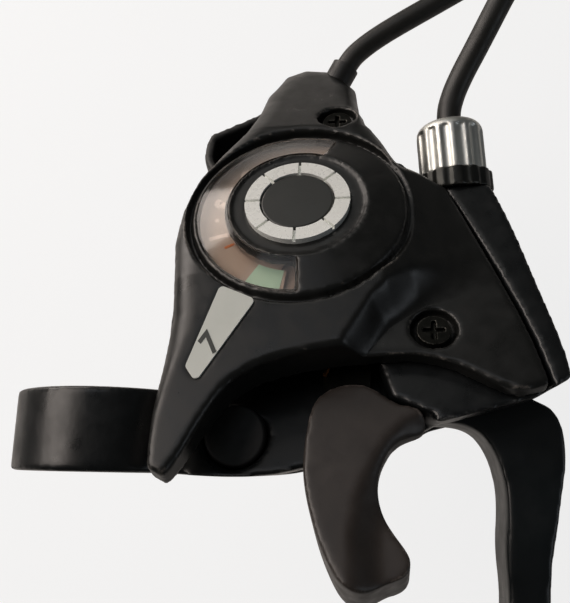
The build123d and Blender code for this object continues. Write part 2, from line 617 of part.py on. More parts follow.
def housing_hollow():
    """The room inside the lower housing."""
    with BuildPart() as hollow:
        with BuildSketch(UNIT.offset(FLOOR_TOP_W)):
            add(housing_outline(HOUSING_WALL))
        extrude(amount=FAR)
        add(bracket_side(HOUSING_WALL), mode=Mode.SUBTRACT)
    return hollow.part


def bar(start, end, wide):
    """A flat link with round ends, from one point of a sketch to another."""
    along = Vector(*end) - Vector(*start)
    middle = (Vector(*start) + Vector(*end)) / 2
    with BuildSketch(mode=Mode.PRIVATE) as sketch:
        with Locations(Location((middle.X, middle.Y, 0), (0, 0, degrees(atan2(along.Y, along.X))))):
            SlotCenterToCenter(along.length, wide)
    return sketch.sketch


def polar(radius, angle):
    """A point of the drum's plane, from its axis."""
    return (radius * cos(radians(angle)), radius * sin(radians(angle)))


with BuildPart() as lower_housing:
    with BuildSketch(UNIT.offset(HOUSING_FLOOR_W)):
        add(housing_outline(0))
    extrude(amount=HOUSING_TOP_W - HOUSING_FLOOR_W)
    add(housing_hollow(), mode=Mode.SUBTRACT)
    add(bracket_side(0.0), mode=Mode.SUBTRACT)
    with BuildSketch(UNIT.offset(FLANGE_LOW_W)):
        with Locations((FLANGE_U, FLANGE_V - 1.5)):
            Rectangle(FLANGE_LONG, FLANGE_WIDE + 3.0)
        Rectangle(4 * FAR, 2 * (50.4 - HOUSING_WALL), mode=Mode.SUBTRACT)
    extrude(amount=HOUSING_TOP_W - FLANGE_LOW_W)
    with BuildSketch(UNIT.offset(HOUSING_FLOOR_W)):
        with Locations((UPPER_SCREW_U, UPPER_SCREW_V)):
            Circle(UPPER_BOSS_R)
    extrude(amount=HOUSING_TOP_W - HOUSING_FLOOR_W)
    with BuildSketch(on_unit(UPPER_SCREW_U, UPPER_SCREW_V, HOUSING_TOP_W)):
        Circle(UPPER_NECK_R)
    extrude(amount=UPPER_SEAT_W - HOUSING_TOP_W)
    with BuildSketch(UNIT.offset(HOUSING_TOP_W - UNIT_SCREW_BITE)):
        with Locations((UPPER_SCREW_U, UPPER_SCREW_V)):
            Circle(SCREW_R + SEAT)
        with Locations(*UNIT_SCREWS):
            Circle(SCREW_R + 0.1)
    extrude(amount=FAR, mode=Mode.SUBTRACT)
    with BuildSketch(UNIT.offset(HOUSING_TOP_W - 1.2)):
        with Locations(*UNIT_SCREWS):
            Circle(SCREW_HEAD_R + 0.1)
    extrude(amount=FAR, mode=Mode.SUBTRACT)
    # the trigger's opening, the drive post's slot, the axle's hole and the standoffs' holes
    with BuildSketch(UNIT.offset(TRIGGER_ARM_W - 2.2)):
        with Locations((-12.0, 38.0)):
            Rectangle(14.0, 16.0)
    extrude(amount=FAR, mode=Mode.SUBTRACT)
    with BuildSketch(on_unit(DRUM_U, DRUM_V, HOUSING_FLOOR_W)):
        with BuildLine(mode=Mode.PRIVATE):
            post_path = CenterArc((0, 0), POST_ARC_R, POST_ANGLE, THUMB_SWING)
        SlotArc(arc=post_path, height=2 * (POST_R + GAP))
        Circle(AXLE_R + SEAT)
        with Locations(*STANDOFFS):
            Circle(STUB_R + SEAT)
    extrude(amount=2 * HOUSING_WALL, mode=Mode.SUBTRACT)
    with BuildSketch(FERRULE_PLANE):
        Circle(FERRULE_R + GAP)
    extrude(amount=FAR, mode=Mode.SUBTRACT)
    with BuildSketch(Plane.YZ):
        Circle(BAR_R + 0.5)
    extrude(amount=2 * FAR, both=True, mode=Mode.SUBTRACT)
lower_housing.part.label = "lower_housing"

UNIT_HEAD_HIGH = 1.2
CROSS_LONG = 3.4            # cross recess of the small screws
CROSS_WIDE = 0.7
CROSS_DEEP = 0.7
with BuildPart() as unit_screws:
    for spot in UNIT_SCREWS:
        with BuildSketch(on_unit(*spot, HOUSING_TOP_W + SEAT - UNIT_HEAD_HIGH)):
            Circle(SCREW_HEAD_R)
        extrude(amount=UNIT_HEAD_HIGH)
        with BuildSketch(on_unit(*spot, FLANGE_LOW_W - UNIT_SCREW_BITE + 0.2)):
            Circle(SCREW_R)
        extrude(amount=HOUSING_TOP_W - FLANGE_LOW_W + UNIT_SCREW_BITE - UNIT_HEAD_HIGH)
        with BuildSketch(on_unit(*spot, HOUSING_TOP_W + SEAT - CROSS_DEEP)):
            Rectangle(CROSS_LONG, CROSS_WIDE)
            Rectangle(CROSS_WIDE, CROSS_LONG)
        extrude(amount=2 * CROSS_DEEP, mode=Mode.SUBTRACT)
unit_screws.part.label = "unit_screws"

# ---------------------------------------------------------------- shift mechanism
with BuildPart() as base_plate:
    with BuildSketch(UNIT.offset(BASE_LOW_W)):
        add(housing_outline(HOUSING_WALL + 0.6))
    extrude(amount=BASE_PLATE_THICK)
    add(bracket_side(HOUSING_WALL + 0.6), mode=Mode.SUBTRACT)
    with BuildSketch(UNIT.offset(BASE_LOW_W)):
        with Locations((-82.0, 32.0)):
            Rectangle(40.0, 60.0)
    extrude(amount=BASE_PLATE_THICK, mode=Mode.SUBTRACT)
    with BuildSketch(on_unit(DRUM_U, DRUM_V, BASE_LOW_W)):
        SlotArc(arc=post_path, height=2 * (POST_R + GAP))
        Circle(AXLE_R + SEAT)
        with Locations(*STANDOFFS):
            Circle(STUB_R + SEAT)
    extrude(amount=BASE_PLATE_THICK, mode=Mode.SUBTRACT)
    with BuildSketch(UNIT.offset(BASE_LOW_W)):
        with Locations((UPPER_SCREW_U, UPPER_SCREW_V)):
            Circle(UPPER_BOSS_R + GAP)
        with Locations((HOLD_PIN_U, HOLD_PIN_V)):
            Circle(PAWL_PIN_R + SEAT)
    extrude(amount=BASE_PLATE_THICK, mode=Mode.SUBTRACT)
base_plate.part.label = "base_plate"

with BuildPart() as plate_standoffs:
    for spot in STANDOFFS:
        with BuildSketch(on_unit(DRUM_U, DRUM_V, HOUSING_FLOOR_W - 1.0)):
            with Locations(spot):
                Circle(STANDOFF_R)
        extrude(amount=1.0 - SEAT)
        with BuildSketch(on_unit(DRUM_U, DRUM_V, HOUSING_FLOOR_W - 0.5)):
            with Locations(spot):
                Circle(STUB_R)
        extrude(amount=RETAINER_TOP_W + 0.5 - HOUSING_FLOOR_W + 0.5)
        with BuildSketch(on_unit(DRUM_U, DRUM_V, BASE_TOP_W + SEAT)):
            with Locations(spot):
                Circle(STANDOFF_R)
        extrude(amount=RETAINER_LOW_W - SEAT - BASE_TOP_W - SEAT)
plate_standoffs.part.label = "plate_standoffs"

with BuildPart() as retainer_plate:
    with BuildSketch(on_unit(DRUM_U, DRUM_V, RETAINER_LOW_W)):
        with BuildLine():
            Polyline((-18.9, 8.0), (-14.0, 12.6), (12.0, 11.0), (18.0, 10.4), (18.6, 5.4), (10.4, -4.0),
                     (8.8, -15.6), (3.0, -16.0), (-8.0, -8.0), close=True)
        make_face()
        Circle(SLEEVE_R + FIT, mode=Mode.SUBTRACT)
        with Locations(*STANDOFFS):
            Circle(STUB_R + SEAT, mode=Mode.SUBTRACT)
        with Locations((TRIGGER_U - DRUM_U, TRIGGER_V - DRUM_V)):
            Circle(TRIGGER_PIN_R - 0.4 + SEAT, mode=Mode.SUBTRACT)
    extrude(amount=RETAINER_TOP_W - RETAINER_LOW_W)
retainer_plate.part.label = "retainer_plate"

AXLE_LOW_W = -18.8
with BuildPart() as main_axle:
    with BuildSketch(on_unit(DRUM_U, DRUM_V, AXLE_LOW_W)):
        Circle(AXLE_R)
    extrude(amount=14.0 - AXLE_LOW_W)
main_axle.part.label = "main_axle"

HUB_LOW_W = -17.0
with BuildPart() as axle_nut:
    with BuildSketch(on_unit(DRUM_U, DRUM_V, AXLE_LOW_W + 0.2)):
        RegularPolygon(4.0, 6, major_radius=False)
        Circle(AXLE_R + SEAT, mode=Mode.SUBTRACT)
    extrude(amount=HUB_LOW_W - GAP - AXLE_LOW_W - 0.2)
axle_nut.part.label = "axle_nut"

GROOVE_LOW_W = 1.9
GROOVE_HIGH_W = 5.2
GROOVE_FLOOR_R = 9.3
WIRE_W = 2.9
SLEEVE_TOP_W = 14.6
WRAP_R = GROOVE_FLOOR_R + SHIFT_WIRE_R + SEAT
REACH_U = FERRULE_PLANE.origin.dot(U_DIR) - DRUM_U
REACH_V = FERRULE_PLANE.origin.dot(V_DIR) - DRUM_V
TANGENT_ANGLE = degrees(atan2(REACH_V, REACH_U) + acos(WRAP_R / hypot(REACH_U, REACH_V)))
WRAP_SWEEP = 125.0
HEAD_ANGLE = TANGENT_ANGLE + WRAP_SWEEP + 12.0
HEAD_R = 1.7
HEAD_ARC_R = GROOVE_FLOOR_R - 1.2
HEAD_SPOT = polar(HEAD_ARC_R, HEAD_ANGLE)

with BuildPart() as cable_drum:
    with BuildSketch(dial_plane(0.0)):
        with BuildLine():
            Polyline((AXLE_R + FIT, DRUM_BOTTOM_W), (DRUM_R, DRUM_BOTTOM_W), (DRUM_R, GROOVE_LOW_W),
                     (GROOVE_FLOOR_R, GROOVE_LOW_W), (GROOVE_FLOOR_R, GROOVE_HIGH_W), (DRUM_R, GROOVE_HIGH_W),
                     (DRUM_R, DRUM_TOP_W), (SLEEVE_R, DRUM_TOP_W), (SLEEVE_R, SLEEVE_TOP_W),
                     (AXLE_R + FIT, SLEEVE_TOP_W), close=True)
        make_face()
    revolve(axis=DRUM_AXIS)
    with BuildSketch(on_unit(DRUM_U, DRUM_V, GROOVE_LOW_W)):
        with Locations(HEAD_SPOT):
            Circle(HEAD_R + SEAT)
    extrude(amount=FAR, mode=Mode.SUBTRACT)
cable_drum.part.label = "cable_drum"

with BuildPart() as shift_wire_head:
    with BuildSketch(on_unit(DRUM_U, DRUM_V, GROOVE_LOW_W + SEAT)):
        with Locations(HEAD_SPOT):
            Circle(HEAD_R)
    extrude(amount=GROOVE_HIGH_W - GROOVE_LOW_W - 2 * SEAT)
shift_wire_head.part.label = "shift_wire_head"

with BuildPart() as wound_wire:
    with BuildSketch(dial_plane(TANGENT_ANGLE)):
        with Locations((WRAP_R, WIRE_W)):
            Circle(SHIFT_WIRE_R)
    revolve(axis=DRUM_AXIS, revolution_arc=WRAP_SWEEP)
wound_wire.part.label = "wound_wire"

TEETH = 16
with BuildPart() as ratchet_wheel:
    with BuildSketch(on_unit(DRUM_U, DRUM_V, PAWL_LOW_W)):
        Circle(RATCHET_R)
        Circle(AXLE_R + FIT, mode=Mode.SUBTRACT)
        with PolarLocations(RATCHET_R, TEETH):
            Triangle(a=2.2, b=1.6, C=78.0, mode=Mode.SUBTRACT)
    extrude(amount=DRUM_BOTTOM_W - SEAT - PAWL_LOW_W)
ratchet_wheel.part.label = "ratchet_wheel"

with BuildPart() as drum_spring:
    with BuildLine():
        coil = Helix(pitch=1.0, height=1.6, radius=5.8, center=unit_point(DRUM_U, DRUM_V, DRUM_TOP_W + 0.8),
                     direction=W_DIR)
    with BuildSketch(Plane(origin=coil @ 0, z_dir=coil % 0)):
        Circle(0.4)
    sweep()
drum_spring.part.label = "drum_spring"

POINTER_LOW_W = 13.0
POINTER_ARM_W = DIAL_TOP_W + GAP
POINTER_THICK = 0.45
POINTER_START = -62.0       # the flag's leading end, from u towards v
POINTER_SWEEP = 56.0
POINTER_OUTER_R = WINDOW_OUTER_R - 0.7
POINTER_WIDE = 4.6
with BuildPart() as gear_pointer:
    with BuildSketch(on_unit(DRUM_U, DRUM_V, POINTER_LOW_W)):
        Circle(SLEEVE_R + 1.2)
    extrude(amount=POINTER_ARM_W + POINTER_THICK - POINTER_LOW_W)
    with BuildSketch(on_unit(DRUM_U, DRUM_V, POINTER_LOW_W)):
        Circle(SLEEVE_R + SEAT)
    extrude(amount=SLEEVE_TOP_W + SEAT - POINTER_LOW_W, mode=Mode.SUBTRACT)
    with BuildSketch(on_unit(DRUM_U, DRUM_V, POINTER_ARM_W)):
        add(bar((0, 0), polar(POINTER_OUTER_R - POINTER_WIDE, POINTER_START + POINTER_SWEEP - 14.0), 4.0))
    extrude(amount=POINTER_THICK)
    with BuildSketch(dial_plane(POINTER_START)):
        with Locations((POINTER_OUTER_R - POINTER_WIDE / 2, POINTER_ARM_W + POINTER_THICK / 2)):
            Rectangle(POINTER_WIDE, POINTER_THICK)
    revolve(axis=DRUM_AXIS, revolution_arc=POINTER_SWEEP)
gear_pointer.part.label = "gear_pointer"

FEED_ANGLE = 110.0
FEED_R = 13.5
FEED_SPOT = polar(FEED_R, FEED_ANGLE)
POST_SPOT = polar(POST_ARC_R, POST_ANGLE)
with BuildPart() as drive_plate:
    with BuildSketch(on_unit(DRUM_U, DRUM_V, DRIVE_LOW_W)):
        Circle(5.6)
        for spot in (FEED_SPOT, POST_SPOT):
            add(bar((0, 0), spot, 4.6))
        Circle(AXLE_R + FIT, mode=Mode.SUBTRACT)
        with Locations(POST_SPOT):
            Circle(STUB_R + SEAT, mode=Mode.SUBTRACT)
    extrude(amount=DRIVE_TOP_W - DRIVE_LOW_W)
    with BuildSketch(on_unit(DRUM_U, DRUM_V, DRIVE_TOP_W)):
        with Locations(FEED_SPOT):
            Circle(PAWL_PIN_R)
    extrude(amount=PAWL_TOP_W - DRIVE_TOP_W)
drive_plate.part.label = "drive_plate"

PAWL_NOSE_R = 0.9
NOSE_ARC_R = RATCHET_R + GAP + PAWL_NOSE_R
with BuildPart() as feed_pawl:
    with BuildSketch(on_unit(DRUM_U, DRUM_V, PAWL_LOW_W)):
        add(bar(FEED_SPOT, polar(NOSE_ARC_R, FEED_ANGLE + 38.0), 2 * PAWL_NOSE_R))
        with Locations(FEED_SPOT):
            Circle(PAWL_BOSS_R)
            Circle(PAWL_PIN_R + FIT, mode=Mode.SUBTRACT)
    extrude(amount=PAWL_TOP_W - PAWL_LOW_W)
feed_pawl.part.label = "feed_pawl"

HOLD_SPOT = (HOLD_PIN_U - DRUM_U, HOLD_PIN_V - DRUM_V)
with BuildPart() as hold_pawl:
    with BuildSketch(on_unit(DRUM_U, DRUM_V, PAWL_LOW_W)):
        add(bar(HOLD_SPOT, polar(NOSE_ARC_R, -35.0), 2 * PAWL_NOSE_R))
        add(bar(HOLD_SPOT, (HOLD_SPOT[0] - 1.7, HOLD_SPOT[1] + 5.5), 1.6))
        with Locations(HOLD_SPOT):
            Circle(PAWL_BOSS_R)
            Circle(PAWL_PIN_R + FIT, mode=Mode.SUBTRACT)
    extrude(amount=PAWL_TOP_W - PAWL_LOW_W)
hold_pawl.part.label = "hold_pawl"

with BuildPart() as hold_pawl_pin:
    with BuildSketch(on_unit(HOLD_PIN_U, HOLD_PIN_V, BASE_LOW_W)):
        Circle(PAWL_PIN_R)
    extrude(amount=PAWL_TOP_W - BASE_LOW_W)
    with BuildSketch(on_unit(HOLD_PIN_U, HOLD_PIN_V, BASE_TOP_W + SEAT)):
        Circle(PAWL_BOSS_R)
    extrude(amount=PAWL_LOW_W - 0.1 - BASE_TOP_W - SEAT)
hold_pawl_pin.part.label = "hold_pawl_pin"

# ---------------------------------------------------------------- release trigger
ARM_TOP = TRIGGER_ARM_W + TRIGGER_ARM_THICK
TAIL_SPOT = (TRIGGER_U - 2.1, TRIGGER_V - 5.0)
TRIGGER_FIT = 0.04
DEEP_FROM_U = 12.0          # outboard of here the trigger's skirt hangs lower
with BuildPart() as release_arm:
    with BuildSketch(UNIT.offset(TRIGGER_ARM_W)):
        with BuildLine():
            Polyline((TRIGGER_U, TRIGGER_V + 3.4), (-8.0, 43.4), (2.8, 43.0), (2.8, 37.2), (-7.4, 35.8),
                     (TRIGGER_U, TRIGGER_V - 3.4), close=True)
        make_face()
        with Locations((TRIGGER_U, TRIGGER_V)):
            Circle(3.4)
        add(bar((TRIGGER_U, TRIGGER_V), TAIL_SPOT, 2.8))
        with Locations((TRIGGER_U, TRIGGER_V)):
            Circle(TRIGGER_PIN_R + FIT, mode=Mode.SUBTRACT)
    extrude(amount=TRIGGER_ARM_THICK)
    with BuildSketch(on_unit(*TAIL_SPOT, PAWL_LOW_W)):
        Circle(1.4)
    extrude(amount=ARM_TOP - PAWL_LOW_W)
release_arm.part.label = "release_arm"


def trigger_outline():
    """The trigger's finger pad seen square to the dial."""
    with BuildSketch(mode=Mode.PRIVATE) as sketch:
        with BuildLine():
            Spline((-3.4, 44.6), (-4.6, 40.0), (-2.2, 35.3), (2.9, 33.9), (8.5, 33.6), (15.8, 35.0),
                   (22.8, 37.9), (25.2, 39.8), (25.9, 41.8), (24.3, 45.2), (22.8, 48.2), (21.2, 48.7),
                   (19.3, 47.8), (15.5, 45.3), (10.5, 44.4), (6.7, 45.6), (3.9, 48.0), (1.6, 51.5),
                   (-0.1, 51.0), (-1.2, 48.0),
                   periodic=True)
        make_face()
    return sketch.sketch


with BuildPart() as release_trigger:
    with BuildSketch(UNIT.offset(TRIGGER_ARM_W - 0.6)):
        add(trigger_outline())
    extrude(amount=TRIGGER_TOP_W - TRIGGER_ARM_W + 0.6)
    with BuildSketch(UNIT.offset(TRIGGER_LOW_W)):
        add(trigger_outline())
        with Locations((DEEP_FROM_U - FAR, TRIGGER_V)):
            Rectangle(2 * FAR, 2 * FAR, mode=Mode.SUBTRACT)
    extrude(amount=TRIGGER_TOP_W - TRIGGER_LOW_W)
    with BuildSketch(UNIT.offset(TRIGGER_ARM_W - TRIGGER_FIT)):
        with BuildLine():
            Polyline((-20.0, 35.4), (-7.4, 35.8 - TRIGGER_FIT), (2.8 + TRIGGER_FIT, 37.2 - TRIGGER_FIT),
                     (2.8 + TRIGGER_FIT, 43.0 + TRIGGER_FIT), (-8.0, 43.4 + TRIGGER_FIT), (-20.0, 43.4),
                     close=True)
        make_face()
    extrude(amount=TRIGGER_ARM_THICK + 2 * TRIGGER_FIT, mode=Mode.SUBTRACT)
release_trigger.part.label = "release_trigger"

with BuildPart() as trigger_pin:
    with BuildSketch(on_unit(TRIGGER_U, TRIGGER_V, TRIGGER_ARM_W - 0.3)):
        Circle(TRIGGER_PIN_R)
    extrude(amount=RETAINER_LOW_W - SEAT - TRIGGER_ARM_W + 0.3)
    with BuildSketch(on_unit(TRIGGER_U, TRIGGER_V, RETAINER_LOW_W - 0.5)):
        Circle(TRIGGER_PIN_R - 0.4)
    extrude(amount=RETAINER_TOP_W - RETAINER_LOW_W + 0.9)
    with BuildSketch(on_unit(TRIGGER_U, TRIGGER_V, TRIGGER_ARM_W - 1.3)):
        Circle(TRIGGER_PIN_R + 0.8)
    extrude(amount=1.1)
trigger_pin.part.label = "trigger_pin"

TRIGGER_SPRING_R = 2.6
SPRING_WIRE_R = 0.35
SPRING_LOW_W = ARM_TOP + 0.5
with BuildPart() as trigger_spring:
    with BuildLine() as spring_line:
        spring_coil = Helix(pitch=0.75, height=1.0, radius=TRIGGER_SPRING_R,
                            center=unit_point(TRIGGER_U, TRIGGER_V, SPRING_LOW_W), direction=W_DIR)
    with BuildSketch(Plane(origin=spring_coil @ 0, z_dir=spring_coil % 0)):
        Circle(SPRING_WIRE_R)
    sweep(path=spring_line.line)
    spring_leg = unit_point(-6.6, 36.2, SPRING_LOW_W) - spring_coil @ 0
    with BuildSketch(Plane(origin=spring_coil @ 0, z_dir=spring_leg)):
        Circle(SPRING_WIRE_R)
    extrude(amount=spring_leg.length)
trigger_spring.part.label = "trigger_spring"

# ---------------------------------------------------------------- thumb lever
HUB_TOP_W = HOUSING_FLOOR_W - GAP
FLANGE_W = -12.4
FLANGE_THICK = 2.0
THUMB_MID_Z = THUMB_TOP_Z - THUMB_ARM_THICK / 2
THUMB_LOW_Z = THUMB_TOP_Z - THUMB_ARM_THICK
THUMB_W = (THUMB_MID_Z - DRUM_U * sin(TILT)) / cos(TILT)
THUMB_X = DRUM_U * cos(TILT) - THUMB_W * sin(TILT)


def thumb_spot(reach):
    """A point of the thumb lever's arm, this far from its hub, in plan."""
    return (THUMB_X + reach * cos(radians(THUMB_ANGLE)), DRUM_V + reach * sin(radians(THUMB_ANGLE)))


def thumb_arm(grow):
    """The thumb lever's flat arm, grown by a fit."""
    with BuildPart() as arm:
        with BuildSketch(Plane.XY.offset(THUMB_LOW_Z - grow)):
            add(bar((THUMB_X, DRUM_V), thumb_spot(THUMB_REACH - 5.0), 7.0 + 2 * grow))
            with Locations((THUMB_X, DRUM_V)):
                Circle(HUB_R + 1.4)
        extrude(amount=THUMB_ARM_THICK + 2 * grow)
    return arm.part


with BuildPart() as thumb_lever:
    add(thumb_arm(0.0))
    with BuildSketch(on_unit(DRUM_U, DRUM_V, HUB_LOW_W)):
        Circle(HUB_R)
    extrude(amount=HUB_TOP_W - HUB_LOW_W)
    with BuildSketch(on_unit(DRUM_U, DRUM_V, FLANGE_W)):
        add(bar((0, 0), POST_SPOT, 5.0))
    extrude(amount=FLANGE_THICK)
    with BuildSketch(on_unit(DRUM_U, DRUM_V, FLANGE_W + FLANGE_THICK)):
        with Locations(POST_SPOT):
            Circle(POST_R)
    extrude(amount=DRIVE_LOW_W - SEAT - FLANGE_W - FLANGE_THICK)
    with BuildSketch(on_unit(DRUM_U, DRUM_V, DRIVE_LOW_W - 0.5)):
        with Locations(POST_SPOT):
            Circle(STUB_R)
    extrude(amount=DRIVE_TOP_W - DRIVE_LOW_W + 0.5)
    with BuildSketch(on_unit(DRUM_U, DRUM_V, HUB_LOW_W)):
        Circle(HUB_R + 2.0)
    extrude(amount=-10.0, mode=Mode.SUBTRACT)
    with BuildSketch(on_unit(DRUM_U, DRUM_V, HUB_LOW_W)):
        Circle(AXLE_R + FIT)
    extrude(amount=FAR, mode=Mode.SUBTRACT)
thumb_lever.part.label = "thumb_lever"

PADDLE_LONG = 16.0
PADDLE_RIM = 0.6            # plastic above the arm
with BuildPart() as thumb_paddle:
    with BuildSketch(Plane.XY.offset(THUMB_TOP_Z + PADDLE_RIM)):
        with Locations(Location((*thumb_spot(THUMB_REACH - PADDLE_LONG / 2), 0), (0, 0, THUMB_ANGLE))):
            RectangleRounded(PADDLE_LONG, THUMB_WIDE, 4.5)
    extrude(amount=-THUMB_PADDLE_DEEP - PADDLE_RIM)
    fillet(thumb_paddle.faces().sort_by(Axis.Z)[0].edges(), radius=2.5)
    fillet(thumb_paddle.faces().sort_by(Axis.Z)[-1].edges(), radius=0.3)
    add(thumb_arm(SEAT), mode=Mode.SUBTRACT)
thumb_paddle.part.label = "thumb_paddle"

THUMB_SPRING_WIRE_R = 0.45
THUMB_SPRING_W = FLANGE_W + FLANGE_THICK + THUMB_SPRING_WIRE_R + GAP
with BuildPart() as thumb_spring:
    with BuildLine():
        thumb_coil = Helix(pitch=1.2, height=1.8, radius=HUB_R + GAP + THUMB_SPRING_WIRE_R,
                           center=unit_point(DRUM_U, DRUM_V, THUMB_SPRING_W), direction=W_DIR)
    with BuildSketch(Plane(origin=thumb_coil @ 0, z_dir=thumb_coil % 0)):
        Circle(THUMB_SPRING_WIRE_R)
    sweep()
thumb_spring.part.label = "thumb_spring"

# ---------------------------------------------------------------- top cover
RECESS_WALL = 1.2
UPPER_FLOOR_W = 15.6        # floors of the two screw recesses
LOWER_FLOOR_W = 10.8
COVER_SCREWS = ((UPPER_SCREW_U, UPPER_SCREW_V, UPPER_FLOOR_W, UPPER_SEAT_W),
                (LOWER_SCREW_U, LOWER_SCREW_V, LOWER_FLOOR_W, SHELF_W))
COVER_SCREW_LONG = 6.6
COVER_HEAD_HIGH = 1.2
DOME_RIM_R = DOME_R - 0.35
SEAT_RING_R = GROOVE_R + 1.2
GROOVE_W = CONE_LOW_W - 0.6
DOME_WALL = 1.9
LENS_FIT = 0.05
LEDGE = 0.6
STEM_R = 2.6
RING_SEAT_W = COLLAR_W - 0.3
LABEL_DEEP = 0.3
LABEL_FIT = 0.03
LABEL_U_V = ((-16.8, 20.1), (-14.2, 26.0), (-0.7, 17.9), (-3.2, 16.0))
BOSS_BLOCK_U = -69.0
LENS_START = WINDOW_START + 0.2
LENS_SWEEP = WINDOW_SWEEP - 0.4
TAIL_X = U_DIR * cos(radians(TAIL_FALL)) - W_DIR * sin(radians(TAIL_FALL))
LABEL_PLANE = Plane(origin=unit_point(TAIL_START_U, 0, COVER_TOP_W), x_dir=TAIL_X,
                    z_dir=U_DIR * sin(radians(TAIL_FALL)) + W_DIR * cos(radians(TAIL_FALL)))


def cone_w(radius):
    """Height of the dome's conical face at a radius."""
    return CONE_HIGH_W - (CONE_HIGH_W - CONE_LOW_W) * (radius - COLLAR_R) / (DOME_R - COLLAR_R)


def cover_extras():
    """Solid stretches inside the cover: the cable boss, the screw posts and the dome's seat."""
    with BuildPart() as extras:
        with BuildSketch(UNIT.offset(DIAL_TOP_W - DIAL_THICK)):
            with Locations((DRUM_U, DRUM_V)):
                Circle(SEAT_RING_R)
                Circle(DOME_RIM_R, mode=Mode.SUBTRACT)
        extrude(amount=GROOVE_W - DIAL_TOP_W + DIAL_THICK)
        with BuildSketch(UNIT.offset(COVER_BOTTOM_W)):
            with Locations((BOSS_BLOCK_U - FAR / 2, UPPER_SCREW_V)):
                Rectangle(FAR, FAR)
            for u, v, _, _ in COVER_SCREWS:
                with Locations((u, v)):
                    Circle(SCREW_RECESS_R + RECESS_WALL)
        extrude(amount=FAR)
        add(cover_form(0, 0), mode=Mode.INTERSECT)
    return extras.part


def wedge(start, sweep, corners):
    """A part of a turn about the drum's axis, with this profile of radius and height."""
    with BuildPart() as turned:
        with BuildSketch(dial_plane(start)):
            with BuildLine():
                Polyline(*corners, close=True)
            make_face()
        revolve(axis=DRUM_AXIS, revolution_arc=sweep)
    return turned.part


def label_outline(inset):
    """The label's four corners on the tail's slope."""
    with BuildSketch(mode=Mode.PRIVATE) as sketch:
        with BuildLine():
            Polyline(*[((u - TAIL_START_U) / cos(radians(TAIL_FALL)), v) for u, v in LABEL_U_V], close=True)
        make_face()
        fillet(sketch.vertices(), radius=0.8)
        offset(amount=-inset, kind=Kind.ARC)
    return sketch.sketch


